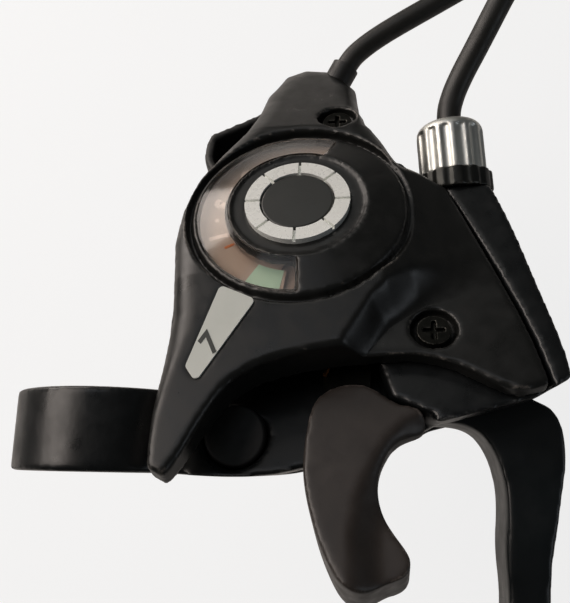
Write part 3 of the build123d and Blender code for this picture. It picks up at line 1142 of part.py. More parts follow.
with BuildPart() as top_cover:
    add(cover_form(0, 0))
    add(cover_form(COVER_WALL, COVER_WALL), mode=Mode.SUBTRACT)
    with BuildSketch(UNIT.offset(DIAL_TOP_W - DIAL_THICK)):
        with Locations((DRUM_U, DRUM_V)):
            Circle(DOME_R)
    extrude(amount=FAR, mode=Mode.SUBTRACT)
    add(cover_extras())
    with BuildSketch(UNIT.offset(GROOVE_W)):
        with Locations((DRUM_U, DRUM_V)):
            Circle(GROOVE_R)
    extrude(amount=FAR, mode=Mode.SUBTRACT)
    add(wedge(0.0, 360.0, ((0.0, COLLAR_W - 1.6), (COLLAR_R - 0.3, COLLAR_W - 1.6),
                           (WINDOW_OUTER_R, cone_w(WINDOW_OUTER_R) - DOME_WALL),
                           (DOME_R, cone_w(WINDOW_OUTER_R) - DOME_WALL), (DOME_R, CONE_LOW_W),
                           (COLLAR_R, CONE_HIGH_W), (COLLAR_R - 0.1, COLLAR_W), (0.0, COLLAR_W))))
    add(wedge(WINDOW_START, WINDOW_SWEEP,
              ((WINDOW_INNER_R, cone_w(WINDOW_INNER_R) - LENS_THICK - SEAT),
               (WINDOW_OUTER_R, cone_w(WINDOW_OUTER_R) - LENS_THICK - SEAT),
               (WINDOW_OUTER_R, FAR), (WINDOW_INNER_R, FAR))), mode=Mode.SUBTRACT)
    add(wedge(WINDOW_START + 2.0, WINDOW_SWEEP - 4.0,
              ((WINDOW_INNER_R + LEDGE, DIAL_TOP_W), (WINDOW_OUTER_R - LEDGE, DIAL_TOP_W),
               (WINDOW_OUTER_R - LEDGE, FAR), (WINDOW_INNER_R + LEDGE, FAR))), mode=Mode.SUBTRACT)
    # posts that the dial hangs from, where the dome has no window
    add(wedge(WINDOW_START + WINDOW_SWEEP + 12.0, 360.0 - WINDOW_SWEEP - 24.0,
              ((WINDOW_INNER_R + 2.0, DIAL_TOP_W + SEAT), (DOME_R - 1.5, DIAL_TOP_W + SEAT),
               (DOME_R - 1.5, GROOVE_W), (WINDOW_INNER_R + 2.0, GROOVE_W))))
    # screw posts down to their seats, recesses and holes
    for u, v, floor_w, seat_w in COVER_SCREWS:
        with BuildSketch(on_unit(u, v, seat_w + SEAT)):
            Circle(SCREW_RECESS_R - 0.4)
        extrude(amount=floor_w - seat_w - SEAT)
        with BuildSketch(on_unit(u, v, floor_w)):
            Circle(SCREW_RECESS_R)
        extrude(amount=FAR, mode=Mode.SUBTRACT)
        with BuildSketch(on_unit(u, v, COVER_BOTTOM_W - 1.0)):
            Circle(SCREW_R + 0.1)
        extrude(amount=FAR, mode=Mode.SUBTRACT)
    with BuildSketch(on_unit(UPPER_SCREW_U, UPPER_SCREW_V, COVER_BOTTOM_W)):
        Circle(UPPER_NECK_R + GAP)
    extrude(amount=UPPER_SEAT_W + SEAT - COVER_BOTTOM_W, mode=Mode.SUBTRACT)
    # seats of the cap, its ring, the label and the cable's ferrule
    with BuildSketch(on_unit(DRUM_U, DRUM_V, RING_SEAT_W - SEAT)):
        Circle(RING_OUTER_R + SEAT)
        Circle(RING_INNER_R - SEAT, mode=Mode.SUBTRACT)
    extrude(amount=FAR, mode=Mode.SUBTRACT)
    with BuildSketch(on_unit(DRUM_U, DRUM_V, DIAL_TOP_W)):
        Circle(STEM_R + SEAT)
    extrude(amount=FAR, mode=Mode.SUBTRACT)
    with BuildSketch(LABEL_PLANE.offset(-LABEL_DEEP)):
        add(label_outline(0.0))
    extrude(amount=FAR, mode=Mode.SUBTRACT)
    with BuildSketch(FERRULE_PLANE):
        Circle(FERRULE_R + SEAT)
    extrude(amount=FAR, mode=Mode.SUBTRACT)
    with BuildSketch(FERRULE_PLANE):
        Circle(FERRULE_R - 1.0)
    extrude(amount=-8.0, mode=Mode.SUBTRACT)
    # room for the handlebar and the clamp
    with BuildSketch(Plane.YZ):
        Circle(BAR_R + 0.5)
    extrude(amount=2 * FAR, both=True, mode=Mode.SUBTRACT)
    with BuildSketch(Plane.YZ.offset(-CLAMP_WIDTH / 2 - 0.5)):
        Circle(CLAMP_R + 0.5)
    extrude(amount=CLAMP_WIDTH + 1.0, mode=Mode.SUBTRACT)
top_cover.part.label = "top_cover"

with BuildPart() as display_window:
    add(wedge(LENS_START, LENS_SWEEP,
              ((WINDOW_INNER_R + LENS_FIT, cone_w(WINDOW_INNER_R + LENS_FIT) - LENS_THICK),
               (WINDOW_OUTER_R - LENS_FIT, cone_w(WINDOW_OUTER_R - LENS_FIT) - LENS_THICK),
               (WINDOW_OUTER_R - LENS_FIT, cone_w(WINDOW_OUTER_R - LENS_FIT)),
               (WINDOW_INNER_R + LENS_FIT, cone_w(WINDOW_INNER_R + LENS_FIT)))))
display_window.part.label = "display_window"

with BuildPart() as gear_dial:
    with BuildSketch(on_unit(DRUM_U, DRUM_V, DIAL_TOP_W - DIAL_THICK)):
        Circle(DOME_RIM_R - LENS_FIT)
        Circle(COLLAR_R - 1.1, mode=Mode.SUBTRACT)
    extrude(amount=DIAL_THICK)
gear_dial.part.label = "gear_dial"

with BuildPart() as cap_ring:
    with BuildSketch(on_unit(DRUM_U, DRUM_V, RING_SEAT_W)):
        Circle(RING_OUTER_R)
        Circle(RING_INNER_R, mode=Mode.SUBTRACT)
    extrude(amount=RING_TOP_W - RING_SEAT_W)
    with BuildSketch(on_unit(DRUM_U, DRUM_V, RING_TOP_W - 0.7)):
        with PolarLocations((RING_OUTER_R + RING_INNER_R) / 2, RING_SEGMENTS):
            Rectangle(4.0, 0.5)
    extrude(amount=1.0, mode=Mode.SUBTRACT)
cap_ring.part.label = "cap_ring"

with BuildPart() as centre_cap:
    with BuildSketch(on_unit(DRUM_U, DRUM_V, COLLAR_W + SEAT)):
        Circle(RING_INNER_R - 0.15)
    extrude(amount=CAP_TOP_W - COLLAR_W - SEAT)
    fillet(centre_cap.faces().sort_by(DRUM_AXIS)[-1].edges(), radius=0.4)
    with BuildSketch(on_unit(DRUM_U, DRUM_V, COLLAR_W - 2.2)):
        Circle(STEM_R)
    extrude(amount=2.4)
centre_cap.part.label = "centre_cap"

with BuildPart() as cover_screws:
    for u, v, floor_w, _ in COVER_SCREWS:
        with BuildSketch(on_unit(u, v, floor_w + SEAT)):
            Circle(SCREW_HEAD_R)
        extrude(amount=COVER_HEAD_HIGH)
        with BuildSketch(on_unit(u, v, floor_w + 0.5)):
            Circle(SCREW_R)
        extrude(amount=-COVER_SCREW_LONG - 0.5)
        with BuildSketch(on_unit(u, v, floor_w + SEAT + COVER_HEAD_HIGH - CROSS_DEEP)):
            Rectangle(CROSS_LONG, CROSS_WIDE)
            Rectangle(CROSS_WIDE, CROSS_LONG)
        extrude(amount=2 * CROSS_DEEP, mode=Mode.SUBTRACT)
cover_screws.part.label = "cover_screws"

LABEL_THICK = 0.5
with BuildPart() as speed_label:
    with BuildSketch(LABEL_PLANE.offset(SEAT - LABEL_DEEP)):
        add(label_outline(LABEL_FIT))
    extrude(amount=LABEL_THICK)
speed_label.part.label = "speed_label"

# ---------------------------------------------------------------- wires and cable housings
WIRE_START = 0.3            # the brake wire starts this far from its nipple
BRAKE_FACE = ADJUSTER_BASE + ADJUSTER_DIR * (HOUSING_FACE + SEAT)


def rod(start, end, radius):
    """A straight round rod between two points."""
    along = end - start
    with BuildPart() as straight:
        with BuildSketch(Plane(origin=start, z_dir=along.normalized())):
            Circle(radius)
        extrude(amount=along.length)
    return straight.part


with BuildPart() as brake_wire:
    wire_from = NIPPLE_TOP + WIRE_DIR * (NIPPLE_R + WIRE_START)
    add(rod(wire_from, WIRE_END, WIRE_R))
brake_wire.part.label = "brake_wire"

TANGENT = polar(WRAP_R, TANGENT_ANGLE)
WIRE_LEAVES = unit_point(DRUM_U + TANGENT[0], DRUM_V + TANGENT[1], WIRE_W)
SHIFT_WIRE_END = FERRULE_PLANE.origin - FERRULE_DIR * GAP
SHIFT_WIRE_DIR = (SHIFT_WIRE_END - WIRE_LEAVES).normalized()
CLEAR_OF_DRUM = 5.0
with BuildPart() as shift_wire:
    add(rod(WIRE_LEAVES + SHIFT_WIRE_DIR * CLEAR_OF_DRUM, SHIFT_WIRE_END, SHIFT_WIRE_R))
shift_wire.part.label = "shift_wire"

FERRULE_FRONT = 7.2         # its whole length
FERRULE_SOCKET = 3.5
with BuildPart() as shift_ferrule:
    with BuildSketch(FERRULE_PLANE):
        Circle(FERRULE_R)
        Circle(SHIFT_WIRE_R + 0.3, mode=Mode.SUBTRACT)
    extrude(amount=FERRULE_FRONT)
    with BuildSketch(FERRULE_PLANE.offset(FERRULE_FRONT - FERRULE_SOCKET)):
        Circle(SHIFT_HOUSING_R + SEAT)
    extrude(amount=FAR, mode=Mode.SUBTRACT)
shift_ferrule.part.label = "shift_ferrule"
SHIFT_FACE = FERRULE_PLANE.origin + FERRULE_DIR * (FERRULE_FRONT - FERRULE_SOCKET + SEAT)

BRAKE_ROUTE = (
    BRAKE_FACE, BRAKE_FACE + ADJUSTER_DIR * 5.9, Vector(-64.9, 59.2, -9.7), Vector(-68.6, 61.0, -8.4),
    Vector(-72.2, 63.2, -6.7), Vector(-76.6, 65.8, -4.5), Vector(-82.6, 69.2, -2.3), Vector(-91.0, 74.8, -1.1),
    Vector(-101.1, 81.7, -2.5), Vector(-113.3, 90.1, -7.4), Vector(-124.6, 97.7, -16.1),
    Vector(-134.9, 104.8, -28.2), Vector(-143.0, 111.4, -43.7), Vector(-149.3, 117.1, -61.7),
    Vector(-153.1, 121.5, -81.2),
)
SHIFT_ROUTE = (
    SHIFT_FACE, SHIFT_FACE + FERRULE_DIR * 5.0, Vector(-82.2, 41.5, -19.1), Vector(-84.7, 45.4, -18.5),
    Vector(-87.2, 50.4, -17.7), Vector(-90.5, 57.3, -16.8), Vector(-95.2, 66.1, -16.2),
    Vector(-101.6, 76.2, -18.6), Vector(-110.1, 86.3, -26.3), Vector(-118.8, 95.0, -38.9),
    Vector(-126.9, 101.7, -54.6), Vector(-134.0, 107.3, -71.3),
)


def bend_radii(route):
    """The largest arc at each inner point that its two runs allow, and the runs' lengths."""
    runs = [(end - start) for start, end in zip(route, route[1:])]
    radii = [0.45 * min(before.length, after.length) / tan(radians(before.get_angle(after)) / 2)
             for before, after in zip(runs, runs[1:])]
    return radii, runs


def housing_tube(route, radius):
    """A cable housing: straight runs joined by tangent arcs."""
    radii, _ = bend_radii(route)
    with BuildPart() as tube:
        with BuildLine() as path:
            FilletPolyline(*route, radius=radii)
        with BuildSketch(Plane(origin=route[0], z_dir=(route[1] - route[0]).normalized())):
            Circle(radius)
        sweep(path=path.line)
    length = sum(edge.length for edge in path.edges())
    print("tube radii", [round(r, 1) for r in radii], "volume", round(tube.part.volume, 1),
          "section times length", round(pi * radius ** 2 * length, 1), "length", round(length, 1))
    return tube.part


CAP_DEEP = 8.0              # socket of a housing's far cap, its end wall and its side wall
CAP_END = 2.0
CAP_WALL = 0.6


def far_ferrule(route, radius):
    """The metal cap on the far end of a cable housing."""
    away = (route[-1] - route[-2]).normalized()
    with BuildPart() as cap:
        with BuildSketch(Plane(origin=route[-1] - away * CAP_DEEP, z_dir=away)):
            Circle(radius + CAP_WALL)
        extrude(amount=CAP_DEEP + CAP_END)
        with BuildSketch(Plane(origin=route[-1] - away * CAP_DEEP, z_dir=away)):
            Circle(radius + SEAT)
        extrude(amount=CAP_DEEP + SEAT, mode=Mode.SUBTRACT)
        with BuildSketch(Plane(origin=route[-1], z_dir=away)):
            Circle(WIRE_R + GAP)
        extrude(amount=2 * CAP_END, mode=Mode.SUBTRACT)
    return cap.part


with BuildPart() as brake_housing:
    add(housing_tube(BRAKE_ROUTE, BRAKE_HOUSING_R))
brake_housing.part.label = "brake_housing"

with BuildPart() as brake_far_ferrule:
    add(far_ferrule(BRAKE_ROUTE, BRAKE_HOUSING_R))
brake_far_ferrule.part.label = "brake_far_ferrule"

with BuildPart() as shift_housing:
    add(housing_tube(SHIFT_ROUTE, SHIFT_HOUSING_R))
shift_housing.part.label = "shift_housing"

with BuildPart() as shift_far_ferrule:
    add(far_ferrule(SHIFT_ROUTE, SHIFT_HOUSING_R))
shift_far_ferrule.part.label = "shift_far_ferrule"

# ---------------------------------------------------------------- write the sub-parts
for node in (bracket, clamp_bolt, clamp_nut, bolt_cap, brake_lever, pivot_bushes, lever_pivot_pin,
             brake_nipple, reach_screw, barrel_adjuster, adjuster_lock_ring, lower_housing, unit_screws,
             base_plate, plate_standoffs, retainer_plate, main_axle, axle_nut, cable_drum, shift_wire_head,
             wound_wire, ratchet_wheel, drum_spring, gear_pointer, drive_plate, feed_pawl, hold_pawl,
             hold_pawl_pin, release_arm, release_trigger, trigger_pin, trigger_spring, thumb_lever,
             thumb_paddle, thumb_spring, top_cover, display_window, gear_dial, cap_ring, centre_cap,
             cover_screws, speed_label, brake_wire, shift_wire, shift_ferrule, brake_housing,
             brake_far_ferrule, shift_housing, shift_far_ferrule):
    save(node)
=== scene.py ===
"""Looks of a combined brake lever and seven-speed trigger shifter.

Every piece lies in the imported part's own frame: X outboard along the handlebar, Y forward,
Z up, in metres. The shift unit has a tilted frame of its own: u outboard, v forward and
w square to its dial, which the sizes below give in millimetres.
"""
import logging
from collections.abc import Callable
from dataclasses import dataclass, field
from enum import Enum
from math import cos, radians, sin

import bmesh
import bpy
import numpy as np
from mathutils import Matrix, Vector


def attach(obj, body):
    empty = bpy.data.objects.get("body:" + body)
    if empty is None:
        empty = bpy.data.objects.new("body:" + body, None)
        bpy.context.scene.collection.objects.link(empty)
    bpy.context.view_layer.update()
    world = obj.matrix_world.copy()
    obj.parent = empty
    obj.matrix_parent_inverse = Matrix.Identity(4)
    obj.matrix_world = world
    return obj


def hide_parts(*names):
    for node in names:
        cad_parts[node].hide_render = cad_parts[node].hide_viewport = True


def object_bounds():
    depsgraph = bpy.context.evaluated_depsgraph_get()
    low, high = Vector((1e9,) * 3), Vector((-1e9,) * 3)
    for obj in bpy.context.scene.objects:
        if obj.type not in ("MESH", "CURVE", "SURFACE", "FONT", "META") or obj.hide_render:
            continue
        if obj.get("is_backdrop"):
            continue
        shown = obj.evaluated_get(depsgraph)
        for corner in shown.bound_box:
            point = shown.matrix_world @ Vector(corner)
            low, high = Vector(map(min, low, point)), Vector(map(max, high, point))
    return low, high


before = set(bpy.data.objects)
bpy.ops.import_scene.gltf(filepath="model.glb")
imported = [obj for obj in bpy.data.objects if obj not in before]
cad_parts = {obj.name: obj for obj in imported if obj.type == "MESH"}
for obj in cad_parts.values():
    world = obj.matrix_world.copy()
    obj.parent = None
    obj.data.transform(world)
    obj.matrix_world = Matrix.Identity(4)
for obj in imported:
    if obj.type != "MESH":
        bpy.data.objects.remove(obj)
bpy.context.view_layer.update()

logging.basicConfig(level=logging.INFO, format="%(name)s: %(message)s")
LOG = logging.getLogger("shifter")
MM = 0.001
UNIT_TILT = radians(23.0)
U_DIR = Vector((cos(UNIT_TILT), 0.0, sin(UNIT_TILT)))
V_DIR = Vector((0.0, 1.0, 0.0))
W_DIR = Vector((-sin(UNIT_TILT), 0.0, cos(UNIT_TILT)))
DRUM_U, DRUM_V = -33.4, 31.4
# a digit's height as a share of the font's size
DIGIT_SHARE = 0.7
# an edge rounded to 0.8 mm counts as worn in full; its mark is spread twice, then deepened
EDGE_RADIUS, EDGE_BLURS, EDGE_GAIN = 0.8 * MM, 2, 1.4


def unit_point(u: float, v: float, w: float) -> Vector:
    """Give a point of the tilted unit frame in the part's frame.

    Args:
        u: Outboard distance in millimetres.
        v: Forward distance in millimetres.
        w: Height square to the dial in millimetres.

    Returns:
        The point in metres.
    """
    return (U_DIR * u + V_DIR * v + W_DIR * w) * MM


def clockwise(angle: float) -> Vector:
    """Give the direction at a clockwise angle from u, in degrees."""
    return U_DIR * cos(radians(angle)) - V_DIR * sin(radians(angle))


def linear(hex_colour: str) -> tuple[float, float, float, float]:
    """Turn an sRGB hex colour to the linear colour that shaders take.

    Args:
        hex_colour: Six hex digits after a hash.

    Returns:
        Red, green, blue and an alpha of one.
    """
    parts = [int(hex_colour[i:i + 2], 16) / 255 for i in (1, 3, 5)]
    red, green, blue = [c / 12.92 if c <= 0.04045 else ((c + 0.055) / 1.055) ** 2.4 for c in parts]
    return red, green, blue, 1.0


# ---------------------------------------------------------------- finishes
class Surface(Enum):
    """How a surface was made, which sets its pattern."""

    MOULDED = "moulded"
    COATED = "coated"
    TURNED = "turned"
    STAMPED = "stamped"
    CLEAR = "clear"
    SHEATH = "sheath"


@dataclass(frozen=True)
class Finish:
    """One material: its name, its colours and how it was made.

    Attributes:
        name: The material's common name and process.
        colour: Base colour, sRGB hex.
        handled: Colour where hands and dust have changed it, sRGB hex.
        roughness: Middle roughness.
        surface: The process that sets the pattern.
        metallic: One for bare metal.
        ior: Index of refraction of a plastic or paint.
        grain: Size of the fine texture in millimetres.
        depth: Height of the fine texture in millimetres.
        mottle: Size of the broad colour change in millimetres.
        mottle_share: How much of the handled colour shows in it.
        swing: How far the roughness moves either way.
        wear: How much of the bare colour shows along edges.
        bare: Colour of worn edges, sRGB hex.
        axis: Turning axis, for turned metal.
    """

    name: str
    colour: str
    handled: str
    roughness: float
    surface: Surface
    metallic: float = 0.0
    ior: float = 1.5
    grain: float = 0.3
    depth: float = 0.01
    mottle: float = 7.0
    mottle_share: float = 0.35
    swing: float = 0.08
    wear: float = 0.0
    bare: str = "#8b8b88"
    axis: tuple[float, float, float] = (0.0, 0.0, 1.0)


# Textures finer than about 0.15 mm would not show, so the finest are drawn that coarse.
# ABS, moulded with a fine spark texture: soft grey highlights and no mirror image
COVER_ABS = Finish("moulded_charcoal_abs", "#141514", "#1f1e1d", 0.35, Surface.MOULDED, ior=1.53,
                   grain=0.28, depth=0.012, mottle=9.0, wear=0.5, bare="#9a948d")
# the lower shell of the same plastic, in a coarser texture and always in shade
HOUSING_ABS = Finish("moulded_black_abs", "#181818", "#242322", 0.52, Surface.MOULDED, ior=1.53,
                     grain=0.4, depth=0.02, mottle=12.0, wear=0.2, bare="#77736d")
# glass-filled nylon: greyer and drier than the cover, rubbed smooth by the finger
TRIGGER_NYLON = Finish("moulded_grey_nylon", "#322d2a", "#433c38", 0.4, Surface.MOULDED, ior=1.53,
                       grain=0.22, depth=0.01, mottle=6.0, wear=0.55, bare="#8e847d")
# die-cast aluminium under satin black paint: a faint orange peel and a cold tint
CAST_PAINT = Finish("painted_cast_aluminium", "#0f1112", "#171a1c", 0.33, Surface.COATED, ior=1.52,
                    grain=0.7, depth=0.012, mottle=10.0, wear=0.28, bare="#9b9c9c")
# forged aluminium lever under the same paint, with a harder sheen
LEVER_PAINT = Finish("painted_forged_aluminium", "#101416", "#182023", 0.34, Surface.COATED, ior=1.52,
                     grain=0.9, depth=0.012, mottle=13.0, wear=0.65, bare="#a3a6a6")
# aluminium turned on a lathe and clear anodised: bright, with rings round its axis
ADJUSTER_ALUMINIUM = Finish("anodised_turned_aluminium", "#e6e7e2", "#cfd1cb", 0.44, Surface.TURNED,
                            metallic=1.0, grain=0.16, depth=0.003, swing=0.06,
                            axis=(-0.99571, -0.06089, 0.06976))
# the same turned metal dyed black: a dark sheen, rubbed bright on its edges
LOCK_RING_ALUMINIUM = Finish("black_anodised_aluminium", "#2b2c2a", "#3e3f3c", 0.33, Surface.TURNED,
                             metallic=0.6, grain=0.2, depth=0.003, swing=0.08, wear=0.4, bare="#a8a8a4",
                             axis=(-0.99571, -0.06089, 0.06976))
# silver paint over plastic: a bright, even bezel with a soft metallic sheen
BEZEL_SILVER = Finish("silver_painted_abs", "#fafcf8", "#e6e8e4", 0.3, Surface.STAMPED, metallic=0.15,
                      grain=0.5, depth=0.002, mottle=3.0, mottle_share=0.2, swing=0.08)
# polycarbonate from a smooth mould: grey-black with one soft highlight
CAP_PLASTIC = Finish("moulded_black_polycarbonate", "#242624", "#2f312e", 0.4, Surface.MOULDED,
                     ior=1.58, grain=0.2, depth=0.006, mottle=5.0, mottle_share=0.3)
# a rubber plug: dull, and darker than the plastics round it
BOLT_CAP_RUBBER = Finish("moulded_black_rubber", "#0d0f10", "#151718", 0.55, Surface.MOULDED, ior=1.52,
                         grain=0.25, depth=0.01, mottle=4.0)
# screws with a black oxide skin that a driver has rubbed on its edges
BLACK_OXIDE = Finish("black_oxide_steel", "#1f1f1c", "#302f2b", 0.36, Surface.STAMPED, metallic=0.9,
                     grain=0.3, depth=0.006, mottle=1.6, mottle_share=0.6, wear=0.4, bare="#a09c94")
# stamped steel under a thin zinc plating: mid grey and slightly cloudy
ZINC_STEEL = Finish("zinc_plated_steel", "#9c9d99", "#7f817c", 0.34, Surface.STAMPED, metallic=1.0,
                    grain=0.5, depth=0.004, mottle=3.0, mottle_share=0.5)
# hard-drawn wire, bare and oiled: darker than the plating, with a tight highlight
SPRING_STEEL = Finish("drawn_spring_steel", "#7d7d7a", "#5f5f5c", 0.3, Surface.STAMPED, metallic=1.0,
                      grain=0.25, depth=0.003, mottle=2.0)
# the same wire with a flash of copper: a warm orange metal
COPPER_SPRING = Finish("coppered_spring_wire", "#b7773f", "#8f5a30", 0.3, Surface.STAMPED, metallic=1.0,
                       grain=0.2, depth=0.002, mottle=1.5)
# fine strands laid together: a grey that breaks up along the wire
STRANDED_WIRE = Finish("stranded_steel_wire", "#a3a4a1", "#74756f", 0.35, Surface.STAMPED, metallic=1.0,
                       grain=0.2, depth=0.02, mottle=1.0)
# acetal, turned or moulded: waxy and even, with hardly any texture
BUSH_ACETAL = Finish("turned_black_acetal", "#1c1c1b", "#262625", 0.42, Surface.MOULDED, grain=0.3,
                     depth=0.004)
DRUM_ACETAL = Finish("moulded_grey_acetal", "#4b4c4a", "#5a5b58", 0.42, Surface.MOULDED, grain=0.3,
                     depth=0.006)
# the indicator: a flag printed in mint, bright and cool beside the warm dial
POINTER_MINT = Finish("printed_mint_polystyrene", "#b9ecd8", "#c6f0e0", 0.45, Surface.MOULDED,
                      ior=1.59, grain=0.2, depth=0.003, mottle=2.5)
# printed ink: flat and opaque, with no shine of its own
POINTER_ORANGE = Finish("printed_orange_ink", "#c9722f", "#b3622a", 0.5, Surface.MOULDED, grain=0.2,
                        depth=0.002)
# printed sheet: a warm taupe, evenly dull under the window
DIAL_PLATE = Finish("printed_taupe_polystyrene", "#aca198", "#b9aea5", 0.46, Surface.MOULDED, ior=1.59,
                    grain=0.25, depth=0.003, mottle=5.0, mottle_share=0.6)
# thick white ink, which stands out from the taupe
DIAL_INK = Finish("screen_printed_white_ink", "#fbf4f0", "#f1e9e4", 0.5, Surface.MOULDED, grain=0.15,
                  depth=0.002, mottle=2.0)
# moulded acrylic: clear with a faint warmth, its highlights a little wavy
WINDOW_ACRYLIC = Finish("clear_acrylic", "#e9e2dc", "#e9e2dc", 0.1, Surface.CLEAR, ior=1.49,
                        grain=2.5, depth=0.004, swing=0.03)
# vinyl film: a flat off-white with a low sheen
LABEL_FILM = Finish("off_white_vinyl_film", "#dce0da", "#cdd2cb", 0.42, Surface.MOULDED, ior=1.5,
                    grain=0.35, depth=0.002, mottle=6.0, mottle_share=0.5)
# thin ink on the film: charcoal instead of a full black
LABEL_INK = Finish("charcoal_label_ink", "#3d403d", "#4b4e4a", 0.5, Surface.MOULDED, grain=0.15,
                   depth=0.002, mottle=2.0)
# PVC drawn over the cable's steel coil, which shows as very faint rings
CABLE_PVC = Finish("extruded_black_pvc", "#1d1d1b", "#2c2b28", 0.44, Surface.SHEATH, ior=1.53,
                   grain=0.35, depth=0.01, mottle=8.0, mottle_share=0.5)
# nylon: drier than the cover, and hardly worn where the housing pushes in
FERRULE_NYLON = Finish("moulded_black_nylon", "#1a1a19", "#272624", 0.45, Surface.MOULDED, ior=1.53,
                       grain=0.25, depth=0.006)
# drawn aluminium, crimped on: bright and smooth
FERRULE_ALUMINIUM = Finish("drawn_aluminium_ferrule", "#c3c4c1", "#9d9e9a", 0.28, Surface.STAMPED,
                           metallic=1.0, grain=0.3, depth=0.003, mottle=2.0)
# studio paper: white and matt, so that only the shadow shows on it
FLOOR_PAPER = Finish("white_studio_paper", "#f4f3f1", "#efeeec", 0.8, Surface.MOULDED, grain=1.5,
                     depth=0.01, mottle=60.0, mottle_share=0.3)


def add_node(
    tree: bpy.types.NodeTree,
    kind: str,
    values: dict[str | int, object] | None = None,
    links: dict[str | int, bpy.types.NodeSocket] | None = None,
    **settings: object,
) -> bpy.types.Node:
    """Add a shader node with its settings and links.

    Args:
        tree: The material's node tree.
        kind: The node's type name.
        values: Input socket defaults by name or index.
        links: Input sockets by name or index, each with the output that feeds it.
        **settings: Properties of the node itself.

    Returns:
        The new node.
    """
    made = tree.nodes.new(kind)
    for key, setting in settings.items():
        setattr(made, key, setting)
    for key, value in (values or {}).items():
        made.inputs[key].default_value = value
    for key, source in (links or {}).items():
        tree.links.new(source, made.inputs[key])
    return made


class Paintbox:
    """Builds each finish's material once and hands it out."""

    def __init__(self) -> None:
        """Start with no materials."""
        self.made: dict[str, bpy.types.Material] = {}

    def material(self, finish: Finish) -> bpy.types.Material:
        """Give the material of a finish.

        Args:
            finish: The finish to build or find.

        Returns:
            Its material.
        """
        if finish.name not in self.made:
            self.made[finish.name] = self.build(finish)
        return self.made[finish.name]

    def build(self, finish: Finish) -> bpy.types.Material:
        """Build a finish's node tree.

        Args:
            finish: The finish to build.

        Returns:
            The new material.
        """
        material = bpy.data.materials.new(finish.name)
        material.use_nodes = True
        material.diffuse_color = linear(finish.colour)
        tree = material.node_tree
        tree.nodes.clear()
        place = add_node(tree, "ShaderNodeTexCoord").outputs["Object"]
        broad = add_node(tree, "ShaderNodeTexNoise", links={"Vector": place},
                         values={"Scale": 1 / (finish.mottle * MM), "Detail": 4.0, "Roughness": 0.55})
        spread = add_node(tree, "ShaderNodeMapRange", links={"Value": broad.outputs["Fac"]},
                          values={"From Min": 0.35, "From Max": 0.75, "To Max": finish.mottle_share})
        colour = add_node(tree, "ShaderNodeMix", data_type="RGBA",
                          links={0: spread.outputs["Result"]},
                          values={6: linear(finish.colour), 7: linear(finish.handled)})
        paint = colour.outputs[2]
        if finish.wear:
            paint = self.wear(tree, finish, place, paint)
        height = self.relief(tree, finish, place)
        bump = add_node(tree, "ShaderNodeBump", links={"Height": height},
                        values={"Strength": 0.6, "Distance": finish.depth * MM})
        # the gloss changes over patches a third as wide as the colour's
        fine = add_node(tree, "ShaderNodeTexNoise", links={"Vector": place},
                        values={"Scale": 3 / (finish.mottle * MM), "Detail": 3.0})
        rough = add_node(tree, "ShaderNodeMapRange", links={"Value": fine.outputs["Fac"]},
                         values={"From Min": 0.3, "From Max": 0.7,
                                 "To Min": finish.roughness - finish.swing,
                                 "To Max": finish.roughness + finish.swing})
        shader = add_node(tree, "ShaderNodeBsdfPrincipled",
                          values={"Metallic": finish.metallic},
                          links={"Base Color": paint, "Roughness": rough.outputs["Result"],
                                 "Normal": bump.outputs["Normal"]})
        if finish.metallic < 1.0:
            shader.inputs["IOR"].default_value = finish.ior
        surface = shader.outputs["BSDF"]
        if finish.surface is Surface.CLEAR:
            surface = self.clear(tree, shader, finish)
        add_node(tree, "ShaderNodeOutputMaterial", links={"Surface": surface})
        return material

    def wear(
        self, tree: bpy.types.NodeTree, finish: Finish, place: bpy.types.NodeSocket,
        paint: bpy.types.NodeSocket,
    ) -> bpy.types.NodeSocket:
        """Let the bare colour through along the edges that a piece's edge attribute marks.

        Args:
            tree: The material's node tree.
            finish: The finish being built.
            place: Object coordinates.
            paint: The colour before wear.

        Returns:
            The colour with wear.
        """
        edge = add_node(tree, "ShaderNodeAttribute", attribute_name="edge")
        # scuffs as coarse as a finger nail or a strap leaves, in patches here and there
        scuff, patch = 0.5 * MM, 5.0 * MM
        scuffs = add_node(tree, "ShaderNodeTexNoise", links={"Vector": place},
                          values={"Scale": 1 / scuff, "Detail": 5.0, "Roughness": 0.7})
        rare = add_node(tree, "ShaderNodeTexNoise", links={"Vector": place},
                        values={"Scale": 1 / patch, "Detail": 2.0})
        both = add_node(tree, "ShaderNodeMath", operation="MULTIPLY",
                        links={0: scuffs.outputs["Fac"], 1: rare.outputs["Fac"]})
        ragged = add_node(tree, "ShaderNodeMath", operation="MULTIPLY",
                          links={0: both.outputs[0], 1: edge.outputs["Fac"]})
        share = add_node(tree, "ShaderNodeMapRange", links={"Value": ragged.outputs[0]},
                         values={"From Min": 0.2, "From Max": 0.42, "To Max": finish.wear})
        mixed = add_node(tree, "ShaderNodeMix", data_type="RGBA",
                         links={0: share.outputs["Result"], 6: paint}, values={7: linear(finish.bare)})
        return mixed.outputs[2]

    def relief(
        self, tree: bpy.types.NodeTree, finish: Finish, place: bpy.types.NodeSocket
    ) -> bpy.types.NodeSocket:
        """Build the fine height pattern of a finish's process.

        Args:
            tree: The material's node tree.
            finish: The finish being built.
            place: Object coordinates.

        Returns:
            The height socket.
        """
        scale = 1 / (finish.grain * MM)
        if finish.surface is Surface.TURNED:
            along = add_node(tree, "ShaderNodeVectorMath", operation="DOT_PRODUCT",
                             links={0: place}, values={1: finish.axis})
            rings = add_node(tree, "ShaderNodeTexNoise", noise_dimensions="1D",
                             links={"W": along.outputs["Value"]},
                             values={"Scale": scale, "Detail": 2.0})
            return rings.outputs["Fac"]
        if finish.surface is Surface.COATED:
